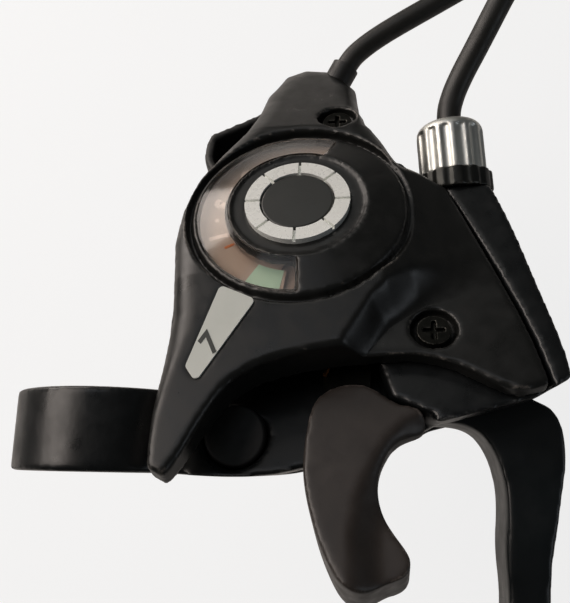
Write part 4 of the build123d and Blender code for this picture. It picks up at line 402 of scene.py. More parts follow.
            # orange peel: shallow cells where the paint drew together as it dried
            cells = add_node(tree, "ShaderNodeTexVoronoi", feature="SMOOTH_F1",
                             links={"Vector": place}, values={"Scale": scale, "Smoothness": 0.8})
            return cells.outputs["Distance"]
        if finish.surface is Surface.SHEATH:
            # the soft jacket shows the steel coil inside as a slight unevenness
            coil = add_node(tree, "ShaderNodeTexNoise", links={"Vector": place},
                            values={"Scale": scale, "Detail": 2.0, "Distortion": 0.3})
            return coil.outputs["Fac"]
        pebble = add_node(tree, "ShaderNodeTexNoise", links={"Vector": place},
                          values={"Scale": scale, "Detail": 3.0, "Roughness": 0.6})
        return pebble.outputs["Fac"]

    def clear(
        self, tree: bpy.types.NodeTree, shader: bpy.types.Node, finish: Finish
    ) -> bpy.types.NodeSocket:
        """Make a shader clear, and let the lamps through to what is behind it.

        Args:
            tree: The material's node tree.
            shader: The Principled node.
            finish: The clear finish.

        Returns:
            The surface socket.
        """
        shader.inputs["Transmission Weight"].default_value = 1.0
        path = add_node(tree, "ShaderNodeLightPath")
        open_way = add_node(tree, "ShaderNodeBsdfTransparent", values={"Color": linear(finish.colour)})
        mixed = add_node(tree, "ShaderNodeMixShader",
                         links={0: path.outputs["Is Shadow Ray"], 1: shader.outputs["BSDF"],
                                2: open_way.outputs["BSDF"]})
        return mixed.outputs["Shader"]


PAINTS = Paintbox()


# ---------------------------------------------------------------- making pieces
def new_piece(name: str, mesh: bpy.types.Mesh) -> bpy.types.Object:
    """Put a mesh into the scene as a piece at the origin.

    Args:
        name: The piece's name, which its mesh takes too.
        mesh: The mesh, already in its place.

    Returns:
        The new piece.
    """
    mesh.name = name
    piece = bpy.data.objects.new(name, mesh)
    bpy.context.scene.collection.objects.link(piece)
    return piece


def piece_from(name: str, shape: bmesh.types.BMesh) -> bpy.types.Object:
    """Make a piece of a finished bmesh.

    Args:
        name: The piece's name.
        shape: The bmesh, already in its place, which is freed.

    Returns:
        The new piece.
    """
    mesh = bpy.data.meshes.new(name)
    shape.to_mesh(mesh)
    shape.free()
    return new_piece(name, mesh)


def finish_piece(
    piece: bpy.types.Object, body: str, finish: Finish, slot: str, *replaces: str
) -> None:
    """Give a piece its material, its body and the CAD nodes that it stands for.

    Args:
        piece: The new piece.
        body: The body it moves with.
        finish: Its finish.
        slot: The record's material slot; not used.
        *replaces: CAD nodes that it replaces.
    """
    piece.data.materials.clear()
    piece.data.materials.append(PAINTS.material(finish))
    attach(piece, body)
    if replaces:
        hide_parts(*replaces)
    LOG.info("%s rides on %s in %s", piece.name, body, finish.name)


def dress(node: str, finish: Finish) -> None:
    """Give a CAD node that stays its material.

    Args:
        node: The node's name.
        finish: Its finish.
    """
    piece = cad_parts[node]
    piece.data.materials.clear()
    piece.data.materials.append(PAINTS.material(finish))
    LOG.info("%s dressed in %s", node, finish.name)


def edge_marks(mesh: bpy.types.Mesh) -> None:
    """Store at each vertex how sharply the surface turns outwards, for wear along edges.

    Args:
        mesh: The mesh to mark.
    """
    count = len(mesh.vertices)
    places, normals = np.empty(count * 3, np.float32), np.empty(count * 3, np.float32)
    mesh.vertices.foreach_get("co", places)
    mesh.vertices.foreach_get("normal", normals)
    places, normals = places.reshape(-1, 3), normals.reshape(-1, 3)
    pairs = np.empty(len(mesh.edges) * 2, np.int32)
    mesh.edges.foreach_get("vertices", pairs)
    first, second = pairs[0::2], pairs[1::2]
    step = places[second] - places[first]
    bend = ((normals[second] - normals[first]) * step).sum(1) / np.maximum((step ** 2).sum(1), 1e-12)
    number = np.maximum(np.bincount(first, minlength=count) + np.bincount(second, minlength=count), 1)
    value = (np.bincount(first, bend, count) + np.bincount(second, bend, count)) / number
    value = np.clip(value * EDGE_RADIUS, 0.0, 1.0)
    for _ in range(EDGE_BLURS):
        around = np.bincount(first, value[second], count) + np.bincount(second, value[first], count)
        value = 0.5 * value + 0.5 * around / number
    marks = mesh.attributes.new("edge", "FLOAT", "POINT")
    marks.data.foreach_set("value", np.clip(value * EDGE_GAIN, 0.0, 1.0).astype(np.float32))


@dataclass(frozen=True)
class Skin:
    """How finely a piece's skin is laid and how far its edges are rounded.

    Attributes:
        voxel: Size of the skin's faces in millimetres.
        passes: How many times its vertices are smoothed, which rounds its edges.
    """

    voxel: float
    passes: int


def softened(
    node: str, name: str, skin: Skin, body: str, finish: Finish, slot: str,
    sculpt: Callable[[np.ndarray], np.ndarray] | None = None,
) -> None:
    """Replace a CAD node by a copy that is one even skin with rounded edges.

    Args:
        node: The CAD node to copy.
        name: The new piece's name.
        skin: The skin's fineness and rounding.
        body: The body it moves with.
        finish: Its finish.
        slot: The record's material slot.
        sculpt: Moves the skin's vertices, given and returned as rows of millimetres.
    """
    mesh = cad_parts[node].data.copy()
    shell = bmesh.new()
    shell.from_mesh(mesh)
    bmesh.ops.remove_doubles(shell, verts=shell.verts, dist=1e-6)
    shell.to_mesh(mesh)
    shell.free()
    piece = new_piece(name, mesh)
    remesh = piece.modifiers.new("skin", "REMESH")
    remesh.mode = "VOXEL"
    remesh.voxel_size = skin.voxel * MM
    ready = piece.evaluated_get(bpy.context.evaluated_depsgraph_get())
    mesh = bpy.data.meshes.new_from_object(ready)
    piece.modifiers.clear()
    piece.data = mesh
    mesh.name = name
    if sculpt is not None:
        places = np.empty(len(mesh.vertices) * 3, np.float32)
        mesh.vertices.foreach_get("co", places)
        moved = sculpt(places.reshape(-1, 3) / MM) * MM
        mesh.vertices.foreach_set("co", moved.astype(np.float32).ravel())
    smooth = bmesh.new()
    smooth.from_mesh(mesh)
    for _ in range(skin.passes):
        bmesh.ops.smooth_vert(smooth, verts=smooth.verts, factor=0.5, use_axis_x=True,
                              use_axis_y=True, use_axis_z=True)
    for face in smooth.faces:
        face.smooth = True
    smooth.to_mesh(mesh)
    smooth.free()
    mesh.update()
    edge_marks(mesh)
    LOG.info("%s has %d faces", name, len(mesh.polygons))
    finish_piece(piece, body, finish, slot, node)


def lettering(
    name: str, text: str, height: float, place: Matrix, thick: float, bold: float, slant: float = 0.0
) -> bpy.types.Object:
    """Make plain numerals as a thin raised mesh.

    Args:
        name: The piece's name.
        text: The characters.
        height: Height of the characters in millimetres.
        place: The matrix from the characters' own plane to the part's frame, in metres.
        thick: Thickness of the ink in millimetres.
        bold: How far the strokes are widened, in millimetres.
        slant: Shear of the characters.

    Returns:
        The new piece.
    """
    curve = bpy.data.curves.new(name, "FONT")
    curve.body = text
    curve.align_x = "CENTER"
    curve.align_y = "CENTER"
    curve.size = height * MM / DIGIT_SHARE
    curve.offset = bold * MM
    curve.shear = slant
    curve.extrude = thick * MM / 2
    curve.resolution_u = 6
    source = bpy.data.objects.new(name, curve)
    bpy.context.scene.collection.objects.link(source)
    ready = source.evaluated_get(bpy.context.evaluated_depsgraph_get())
    mesh = bpy.data.meshes.new_from_object(ready)
    bpy.data.objects.remove(source)
    bpy.data.curves.remove(curve)
    mesh.transform(place)
    return new_piece(name, mesh)


def smoothstep(value: np.ndarray, low: float, high: float) -> np.ndarray:
    """Go smoothly from 0 at low to 1 at high."""
    share = np.clip((value - low) / (high - low), 0.0, 1.0)
    return share * share * (3 - 2 * share)


def loop_distance(
    spots: np.ndarray, corners: tuple[tuple[float, float], ...], closed: bool = True
) -> np.ndarray:
    """Distance from each spot to a line of straight runs.

    Args:
        spots: Rows of two coordinates.
        corners: The line's corners in order.
        closed: Whether the last corner joins the first.

    Returns:
        One distance for each spot.
    """
    loop = np.array(corners)
    nearest = np.full(len(spots), 1e9)
    ends = np.roll(loop, -1, axis=0) if closed else loop[1:]
    for start, end in zip(loop, ends):
        run = end - start
        share = np.clip(((spots - start) @ run) / (run @ run), 0.0, 1.0)
        away = spots - start - share[:, None] * run
        nearest = np.minimum(nearest, np.hypot(away[:, 0], away[:, 1]))
    return nearest


# ---------------------------------------------------------------- the shift unit's cover
@dataclass
class CoverAssembly:
    """The top cover with its display, label and screws.

    Sizes are millimetres and angles degrees, in the tilted unit frame.

    Attributes:
        outline: Corners of the cover seen square to the dial, in u and v.
        crisp_corners: How many of them, from the first, the top meets in a crisp edge.
        shell: The cover's skin.
        roof_w: Height of the flat roof.
        bottom_w: Height of the cover's seam.
        plate_w: Height of the front plate.
        least_tall: The least height over the seam that the shaping reckons with.
        tail: Where the roof starts to fall outboard, and its fall.
        boss: Where it starts to fall inboard, and its fall.
        front: Where it starts to fall forward, and its fall.
        flank: Width of the rounded flank away from and at the crisp edge.
        crisp_reach: Distances from the crisp edge over which the flank widens.
        flank_tall: The flank's greatest width as a share of its height.
        flank_depth: How far the flank drops as a share of its width.
        flank_hold: How strongly the drop stays with the top.
        step: Where the roof comes down to the front plate, in u and v.
        slope: Reach of the slope inland of the step, at its start and added by its end.
        fillet: Half the width of the fillet between the front slope and the plate.
        fillet_run: Distance inland over which the fillet comes in.
        dome_r: Radius of the dome.
        dome_lip: Width round the dome that stays flat.
        groove: How far the groove round the dome is deepened.
        groove_inner: Radii between which the groove's inner lip falls.
        groove_outer: Radii between which its outer lip rises.
        groove_w: Heights between which the deepening comes in.
        screws: Middles of the two screws, in u and v.
        screw_seat: Radii between which the flat seat round a screw ends.
        screw_skin: The screws' skin.
        label: Corners of the label, in u and v.
        label_rim: Distances from its edge between which its flat seat ends.
        label_core: Radius about its middle that stays flat.
        label_fall: How far it leans outboard.
        label_run: Direction of its numeral's line, along the lean and v.
        label_film: Thickness of the film.
        label_spot: Its numeral's middle, in u and v.
        label_print: The numeral's height, the widening of its strokes and its slant.
        ink: Thickness of a print.
        dial_w: Height of the dial's face.
        numeral_r: Radius of the numerals' middle.
        numeral_print: The numerals' height and the widening of their strokes.
        gears: Each numeral with its clockwise angle from u.
        dots: The dots' clockwise angles.
        dot_r: Radius of a dot.
        dot_sides: Sides of a dot.
        pointer_w: Height of the pointer's face.
        flag_radii: Inner and outer radius of the mint field on the pointer.
        flag_angles: Clockwise angles where it starts and ends.
        tip_radii: Inner and outer radius of the orange mark at its end.
        tip_angles: Clockwise angles where that starts and ends.
        flag_steps: Steps in which a field is swept.
    """

    outline: tuple[tuple[float, float], ...] = (
        (12.8, 14.6), (9.2, 16.9), (4.0, 19.3), (-0.8, 22.3), (-3.9, 26.6), (-5.7, 32.0), (-6.8, 38.0),
        (-7.6, 44.5), (-7.9, 51.0), (-6.2, 56.4), (-3.2, 61.2), (-1.6, 64.8), (-3.0, 69.2),
        (-10.2, 67.8), (-16.0, 66.2), (-24.0, 63.6), (-33.0, 60.3), (-41.6, 56.9), (-45.2, 48.8),
        (-51.4, 45.4), (-58.0, 41.9), (-65.6, 41.0), (-71.5, 40.5), (-79.6, 36.0), (-81.0, 29.5),
        (-78.4, 25.2), (-70.0, 22.2), (-62.0, 21.4), (-54.4, 19.6), (-48.5, 15.8), (-42.0, 12.4),
        (-34.0, 10.5), (-27.0, 10.4), (-20.0, 11.5), (-12.0, 12.3), (-4.0, 11.8), (4.0, 11.4),
        (11.4, 11.9),
    )
    crisp_corners: int = 18
    shell: Skin = Skin(0.38, 2)
    roof_w: float = 18.8
    bottom_w: float = 9.7
    plate_w: float = 12.5
    least_tall: float = 0.5
    tail: tuple[float, float] = (-19.0, 0.167)
    boss: tuple[float, float] = (-54.0, 0.231)
    front: tuple[float, float] = (45.5, 0.445)
    flank: tuple[float, float] = (4.6, 1.0)
    crisp_reach: tuple[float, float] = (4.0, 12.0)
    flank_tall: float = 1.3
    flank_depth: float = 0.62
    flank_hold: float = 1.3
    step: tuple[tuple[float, float], ...] = ((-7.0, 43.0), (-12.5, 46.5), (-16.5, 52.0), (-19.0, 59.65))
    slope: tuple[float, float] = (4.0, 4.5)
    fillet: float = 6.0
    fillet_run: float = 7.0
    dome_r: float = 19.0
    dome_lip: float = 1.2
    groove: float = 0.8
    groove_inner: tuple[float, float] = (18.2, 18.6)
    groove_outer: tuple[float, float] = (19.2, 19.6)
    groove_w: tuple[float, float] = (16.2, 17.2)
    screws: tuple[tuple[float, float], ...] = ((-57.0, 37.3), (-12.4, 53.2))
    screw_seat: tuple[float, float] = (3.9, 5.4)
    screw_skin: Skin = Skin(0.11, 2)
    label: tuple[tuple[float, float], ...] = ((-16.8, 20.1), (-14.2, 26.0), (-0.7, 17.9), (-3.2, 16.0))
    label_rim: tuple[float, float] = (0.3, 2.0)
    label_core: float = 3.0
    label_fall: float = 9.5
    label_run: tuple[float, float] = (-0.857, 0.514)
    label_film: float = 0.22
    label_spot: tuple[float, float] = (-6.6, 19.4)
    label_print: tuple[float, float, float] = (3.3, 0.12, 0.2)
    ink: float = 0.05
    dial_w: float = 15.2
    numeral_r: float = 14.4
    numeral_print: tuple[float, float] = (3.0, 0.22)
    gears: tuple[tuple[int, float], ...] = ((1, 74.0), (3, 105.0), (5, 136.0), (7, 167.0))
    dots: tuple[float, ...] = (89.5, 120.5, 151.5)
    dot_r: float = 0.42
    dot_sides: int = 24
    pointer_w: float = 15.95
    flag_radii: tuple[float, float] = (12.25, 16.75)
    flag_angles: tuple[float, float] = (8.0, 29.0)
    tip_radii: tuple[float, float] = (12.25, 14.0)
    tip_angles: tuple[float, float] = (58.6, 60.8)
    flag_steps: int = 12

    def shape_flanks(self, places: np.ndarray) -> np.ndarray:
        """Round the cover's top down to its outline, except under the label and the dome.

        Args:
            places: Rows of x, y, z in millimetres.

        Returns:
            The moved rows.
        """
        u = places @ np.array(U_DIR)
        v = places[:, 1]
        w = places @ np.array(W_DIR)
        spots = np.stack([u, v], axis=1)
        inwards = loop_distance(spots, self.outline)
        roof = self.roof_height(u, v)
        tall = np.maximum(roof - self.bottom_w, self.least_tall)
        away = loop_distance(spots, self.outline[:self.crisp_corners], closed=False)
        full, crisp = self.flank
        wide = crisp + (full - crisp) * smoothstep(away, *self.crisp_reach)
        wide = np.minimum(wide, self.flank_tall * tall)
        share = np.clip(1 - inwards / wide, 0.0, 1.0)
        drop = self.flank_depth * np.minimum(tall, wide) * (1 - np.sqrt(np.clip(1 - share ** 2, 0, 1)))
        level = np.clip((w - self.bottom_w) / tall, 0.0, 1.0)
        from_axis = np.hypot(u - DRUM_U, v - DRUM_V)
        keep_dome = smoothstep(from_axis, self.dome_r, self.dome_r + self.dome_lip)
        keep_label = smoothstep(loop_distance(spots, self.label), *self.label_rim)
        centre = np.array(self.label).mean(0)
        inside = np.hypot(u - centre[0], v - centre[1]) < self.label_core
        keep_label = np.where(inside, 0.0, keep_label)
        keep_screws = np.ones(len(u))
        for at_u, at_v in self.screws:
            keep_screws *= smoothstep(np.hypot(u - at_u, v - at_v), *self.screw_seat)
        moved = drop * level ** self.flank_hold * keep_dome * keep_label * keep_screws
        moved += self.step_slope(spots, roof, w) * keep_dome
        # the groove round the dome is cut to its full depth again, with sharp lips
        trench = smoothstep(from_axis, *self.groove_inner)
        trench *= 1.0 - smoothstep(from_axis, *self.groove_outer)
        moved += self.groove * trench * smoothstep(w, *self.groove_w)
        return places - moved[:, None] * np.array(W_DIR)

    def roof_height(self, u: np.ndarray, v: np.ndarray) -> np.ndarray:
        """Give the height of the cover's top before its flanks are rounded.

        Args:
            u: Outboard distances.
            v: Forward distances.

        Returns:
            The roof's height over each spot.
        """
        (tail_u, tail_fall), (boss_u, boss_fall) = self.tail, self.boss
        front_v, front_fall = self.front
        roof = self.roof_w - np.maximum(0, u - tail_u) * tail_fall
        roof -= np.maximum(0, boss_u - u) * boss_fall
        front = self.roof_w - np.maximum(0, v - front_v) * front_fall
        return np.minimum(roof, np.maximum(front, self.plate_w))

    def step_slope(self, spots: np.ndarray, roof: np.ndarray, w: np.ndarray) -> np.ndarray:
        """Lead the roof down to the front plate in a slope instead of a wall.

        Args:
            spots: Rows of u and v.
            roof: The roof's height over each spot.
            w: Each vertex's height.

        Returns:
            How far each vertex sinks, in millimetres.
        """
        line = np.array(self.step)
        away = loop_distance(spots, self.step, closed=False)
        along = np.clip((spots[:, 1] - line[0, 1]) / (line[-1, 1] - line[0, 1]), 0.0, 1.0)
        edge_u = np.interp(spots[:, 1], line[:, 1], line[:, 0])
        reach = self.slope[0] + self.slope[1] * along
        share = 1.0 - smoothstep(away / reach, 0.0, 1.0)
        on_plate = (spots[:, 0] >= edge_u) & (spots[:, 1] >= line[0, 1])
        sunk = np.maximum(w - self.plate_w, 0.0) * np.where(on_plate, 1.0, share)
        tall = np.maximum(roof - self.bottom_w, self.least_tall)
        level = np.clip((w - self.bottom_w) / tall, 0.0, 1.0)
        # where the front slope runs out on the plate, a fillet takes the place of a crease
        near = np.clip(1.0 - np.abs(spots[:, 1] - line[-1, 1]) / self.fillet, 0.0, 1.0)
        inland = smoothstep(edge_u - spots[:, 0], 0.0, self.fillet_run)
        return sunk - self.front[1] * self.fillet / 4 * near ** 2 * level * inland

    def build_cover(self) -> None:
        """Build the moulded cover."""
        softened("top_cover", "cover_shell", self.shell, "frame", COVER_ABS, "cover_plastic",
                 self.shape_flanks)

    def build_display(self) -> None:
        """Dress the dial, its window, the pointer, the bezel and the cap."""
        dress("gear_dial", DIAL_PLATE)
        dress("display_window", WINDOW_ACRYLIC)
        dress("gear_pointer", DIAL_PLATE)
        self.build_flag("pointer_flag", self.flag_angles, self.flag_radii, POINTER_MINT)
        self.build_flag("pointer_tip", self.tip_angles, self.tip_radii, POINTER_ORANGE)
        dress("cap_ring", BEZEL_SILVER)
        dress("centre_cap", CAP_PLASTIC)

    def build_flag(
        self, name: str, angles: tuple[float, float], radii: tuple[float, float], finish: Finish
    ) -> None:
        """Print one field of colour on the pointer, swept round the dial's axis.

        Args:
            name: The piece's name.
            angles: Clockwise angles from u where it starts and ends, in degrees.
            radii: Its inner and outer radius.
            finish: Its ink.
        """
        (start, end), (inner, outer) = angles, radii
        foot = unit_point(DRUM_U, DRUM_V, self.pointer_w)
        swept = bmesh.new()
        section = swept.faces.new(
            swept.verts.new(foot + clockwise(start) * radius * MM + W_DIR * high * MM)
            for radius, high in ((inner, 0.0), (outer, 0.0), (outer, self.ink), (inner, self.ink)))
        bmesh.ops.spin(swept, geom=[section], cent=foot, axis=W_DIR, angle=radians(start - end),
                       steps=self.flag_steps)
        bmesh.ops.recalc_face_normals(swept, faces=swept.faces)
        finish_piece(piece_from(name, swept), "drum", finish, "pointer_plastic")

    def dial_place(self, angle: float) -> Matrix:
        """Give the place of a print on the dial whose top points to the dial's axis.

        Args:
            angle: Clockwise angle from u, in degrees.

        Returns:
            The matrix from the print's plane to the part's frame.
        """
        outwards = clockwise(angle)
        up = -outwards
        right = up.cross(W_DIR)
        spot = unit_point(DRUM_U, DRUM_V, self.dial_w + self.ink / 2) + outwards * self.numeral_r * MM
        return Matrix.Translation(spot) @ Matrix((right, up, W_DIR)).transposed().to_4x4()

    def build_numerals(self) -> None:
        """Print the odd gears and a dot for each even one on the dial."""
        high, bold = self.numeral_print
        for gear, angle in self.gears:
            number = lettering(
                f"dial_numeral_{gear}", str(gear), high, self.dial_place(angle), self.ink, bold)
            finish_piece(number, "frame", DIAL_INK, "dial_plastic")
        for index, angle in enumerate(self.dots):
            dot = bmesh.new()
            bmesh.ops.create_cone(dot, cap_ends=True, segments=self.dot_sides, radius1=self.dot_r * MM,
                                  radius2=self.dot_r * MM, depth=self.ink * MM,
                                  matrix=self.dial_place(angle))
            finish_piece(piece_from(f"dial_dot_{index}", dot), "frame", DIAL_INK, "dial_plastic")

    def build_label(self) -> None:
        """Dress the label and print its plain numeral."""
        dress("speed_label", LABEL_FILM)
        fall = radians(self.label_fall)
        along = U_DIR * cos(fall) - W_DIR * sin(fall)
        normal = U_DIR * sin(fall) + W_DIR * cos(fall)
        right = (along * self.label_run[0] + V_DIR * self.label_run[1]).normalized()
        up = normal.cross(right)
        (at_u, at_v), tail_u = self.label_spot, self.tail[0]
        spot = unit_point(tail_u, 0, self.roof_w) + along * (at_u - tail_u) / cos(fall) * MM
        spot += V_DIR * at_v * MM
        spot += normal * (self.label_film + self.ink / 2) * MM
        place = Matrix.Translation(spot) @ Matrix((right, up, normal)).transposed().to_4x4()
        high, bold, slant = self.label_print
        seven = lettering("label_numeral", "7", high, place, self.ink, bold, slant)
        finish_piece(seven, "frame", LABEL_INK, "label_film")

    def build_screws(self) -> None:
        """Soften and dress the cover's cross-head screws."""
        softened("cover_screws", "cover_screw_pair", self.screw_skin, "frame", BLACK_OXIDE,
                 "dark_steel")

    def build(self) -> None:
        """Build every piece of the cover."""
        self.build_cover()
        self.build_display()
        self.build_numerals()
        self.build_label()
        self.build_screws()


# ---------------------------------------------------------------- bracket and brake lever
@dataclass
class BracketAssembly:
    """The cast bracket with its clamp bolt, cap and pivot pin.

    Attributes:
        casting: The bracket's skin.
        cap: The bolt cap's skin.
    """

    casting: Skin = Skin(0.5, 3)
    cap: Skin = Skin(0.16, 4)

    def build(self) -> None:
        """Build the bracket and dress its small parts."""
        softened("bracket", "bracket_casting", self.casting, "frame", CAST_PAINT, "bracket_metal")
        softened("bolt_cap", "bolt_cap_moulding", self.cap, "frame", BOLT_CAP_RUBBER, "bolt_cap")
        dress("clamp_bolt", BLACK_OXIDE)
        dress("clamp_nut", ZINC_STEEL)
        dress("lever_pivot_pin", BLACK_OXIDE)


@dataclass
class LeverAssembly:
    """The brake lever with its bushes, cable nipple, wire and reach screw.

    Attributes:
        forging: The lever blade's skin.
    """

    forging: Skin = Skin(0.5, 8)

    def build(self) -> None:
        """Build the lever blade and dress what it carries."""
        softened("brake_lever", "lever_blade", self.forging, "brake_lever", LEVER_PAINT,
                 "lever_metal")
        dress("pivot_bushes", BUSH_ACETAL)
        dress("brake_nipple", ZINC_STEEL)
        dress("brake_wire", STRANDED_WIRE)
        dress("reach_screw", BLACK_OXIDE)


@dataclass
class CableAdjuster:
    """The fluted barrel adjuster and its lock ring.

    Attributes:
        turning: The skin of both.
    """

    turning: Skin = Skin(0.2, 3)

    def build(self) -> None:
        """Build the barrel and the ring."""
        softened("barrel_adjuster", "adjuster_barrel", self.turning, "barrel_adjuster",
                 ADJUSTER_ALUMINIUM, "adjuster_metal")
        softened("adjuster_lock_ring", "adjuster_ring", self.turning, "lock_ring",
                 LOCK_RING_ALUMINIUM, "ring_plastic")


# ---------------------------------------------------------------- the shift mechanism
@dataclass
class ShiftUnit:
    """The lower housing and the mechanism inside it.

    Attributes:
        shell: The housing's skin.
        mechanism: Each piece inside it with its finish.
    """

    shell: Skin = Skin(0.6, 3)
    mechanism: dict[str, Finish] = field(default_factory=lambda: {
        "unit_screws": BLACK_OXIDE, "base_plate": ZINC_STEEL, "plate_standoffs": ZINC_STEEL,
        "retainer_plate": ZINC_STEEL, "main_axle": ZINC_STEEL, "axle_nut": ZINC_STEEL,
        "cable_drum": DRUM_ACETAL, "shift_wire_head": ZINC_STEEL, "wound_wire": STRANDED_WIRE,
        "ratchet_wheel": ZINC_STEEL, "drum_spring": SPRING_STEEL, "drive_plate": ZINC_STEEL,
        "feed_pawl": ZINC_STEEL, "hold_pawl": ZINC_STEEL, "hold_pawl_pin": ZINC_STEEL,
        "shift_wire": STRANDED_WIRE,
    })

    def build(self) -> None:
        """Build the housing and dress the mechanism."""
        softened("lower_housing", "unit_housing", self.shell, "frame", HOUSING_ABS,
                 "housing_plastic")
        for node, finish in self.mechanism.items():
            dress(node, finish)


@dataclass
class TriggerSet:
    """The release trigger above and the thumb lever below.

    Attributes:
        ridge: The line, in u and v, from which the trigger's inner side falls away.
        hollow: How deep that side falls.
        hollow_wide: The width over which it falls.
        arm_w: Height of the trigger's metal arm, which stays in place.
        top_w: Height of the trigger's top.
        pad: The trigger's skin.
        paddle: The thumb paddle's skin.
    """

    ridge: tuple[tuple[float, float], ...] = (
        (-0.11, 51.41), (1.57, 47.71), (4.82, 44.76), (10.23, 41.92), (13.9, 40.57), (18.08, 39.97),
        (22.03, 40.05),
    )
    hollow: float = 2.4
    hollow_wide: float = 5.0
    arm_w: float = 4.9
    top_w: float = 9.0
    pad: Skin = Skin(0.36, 10)
    paddle: Skin = Skin(0.4, 5)

    def shape_pad(self, places: np.ndarray) -> np.ndarray:
        """Let the trigger's inner side fall away from its ridge.

        Args:
            places: Rows of x, y, z in millimetres.

        Returns:
            The moved rows.
        """
        line = np.array(self.ridge)
        inwards = places[:, 1] - np.interp(places @ np.array(U_DIR), line[:, 0], line[:, 1])
        level = np.clip((places @ np.array(W_DIR) - self.arm_w) / (self.top_w - self.arm_w), 0.0, 1.0)
        fall = self.hollow * smoothstep(inwards, 0.0, self.hollow_wide) * level
        return places - fall[:, None] * np.array(W_DIR)

    def build(self) -> None:
        """Build both levers' mouldings and dress their metal."""
        softened("release_trigger", "trigger_pad", self.pad, "trigger", TRIGGER_NYLON,
                 "trigger_plastic", self.shape_pad)
        softened("thumb_paddle", "thumb_pad", self.paddle, "thumb_lever", TRIGGER_NYLON,
                 "trigger_plastic")
        dress("release_arm", BLACK_OXIDE)
        dress("trigger_pin", ZINC_STEEL)
        dress("trigger_spring", COPPER_SPRING)
        dress("thumb_lever", ZINC_STEEL)
        dress("thumb_spring", SPRING_STEEL)


# ---------------------------------------------------------------- cable housings
@dataclass
class CableHousing:
    """One cable housing: a cord swept along a fixed route, with a ferrule on its far end.

    Attributes:
        name: The piece's name.
        node: The CAD node it replaces.
        far_ferrule: The CAD node on its far end.
        route: Points of its route in metres, from its exit on.
        diameter: Its outside diameter in metres.
        length: Its real length in metres; not used.
        round_steps: Steps in a quarter of its round section, less one.
        run_steps: Steps between two points of its route.
    """

    name: str
    node: str
    far_ferrule: str
    route: tuple[tuple[float, float, float], ...]
    diameter: float
    length: float
    round_steps: int = 8
    run_steps: int = 16

    def build(self) -> None:
        """Build the housing as one smooth spline."""
        curve = bpy.data.curves.new(self.name, "CURVE")
        curve.dimensions = "3D"
        curve.bevel_depth = self.diameter / 2
        curve.bevel_resolution = self.round_steps
        curve.resolution_u = self.run_steps
        curve.use_fill_caps = True
        spline = curve.splines.new("NURBS")
        spline.points.add(len(self.route) - 1)
        for point, place in zip(spline.points, self.route):
            point.co = (*place, 1.0)
        spline.order_u = 3
        spline.use_endpoint_u = True
        cable = bpy.data.objects.new(self.name, curve)
        bpy.context.scene.collection.objects.link(cable)
        finish_piece(cable, "frame", CABLE_PVC, "cable_jacket", self.node)
        dress(self.far_ferrule, FERRULE_ALUMINIUM)


BRAKE_CABLE = CableHousing(
    "brake_cable_housing", "brake_housing", "brake_far_ferrule",
    ((-0.054977, 0.058490, -0.010801), (-0.060852, 0.058130, -0.010389), (-0.0649, 0.0592, -0.0097),
     (-0.0686, 0.0610, -0.0084), (-0.0722, 0.0632, -0.0067), (-0.0766, 0.0658, -0.0045),
     (-0.0826, 0.0692, -0.0023), (-0.0910, 0.0748, -0.0011), (-0.1011, 0.0817, -0.0025),
     (-0.1133, 0.0901, -0.0074), (-0.1246, 0.0977, -0.0161), (-0.1349, 0.1048, -0.0282),
     (-0.1430, 0.1114, -0.0437), (-0.1493, 0.1171, -0.0617), (-0.1531, 0.1215, -0.0812)),
    0.0045, 0.162)
SHIFT_CABLE = CableHousing(
    "shift_cable_housing", "shift_housing", "shift_far_ferrule",
    ((-0.075611, 0.036457, -0.020334), (-0.079872, 0.038963, -0.019584), (-0.0822, 0.0415, -0.0191),
     (-0.0847, 0.0454, -0.0185), (-0.0872, 0.0504, -0.0177), (-0.0905, 0.0573, -0.0168),
     (-0.0952, 0.0661, -0.0162), (-0.1016, 0.0762, -0.0186), (-0.1101, 0.0863, -0.0263),
     (-0.1188, 0.0950, -0.0389), (-0.1269, 0.1017, -0.0546), (-0.1340, 0.1073, -0.0713)),
    0.0045, 0.119)


# ---------------------------------------------------------------- studio
@dataclass(frozen=True)
class Softbox:
    """One rectangular soft light.

    Attributes:
        name: Its name.
        place: Its place in metres.
        size: Its width and height in metres.
        power: Its power in watts.
        colour: Its colour, sRGB hex.
    """

    name: str
    place: tuple[float, float, float]
    size: tuple[float, float]
    power: float
    colour: str


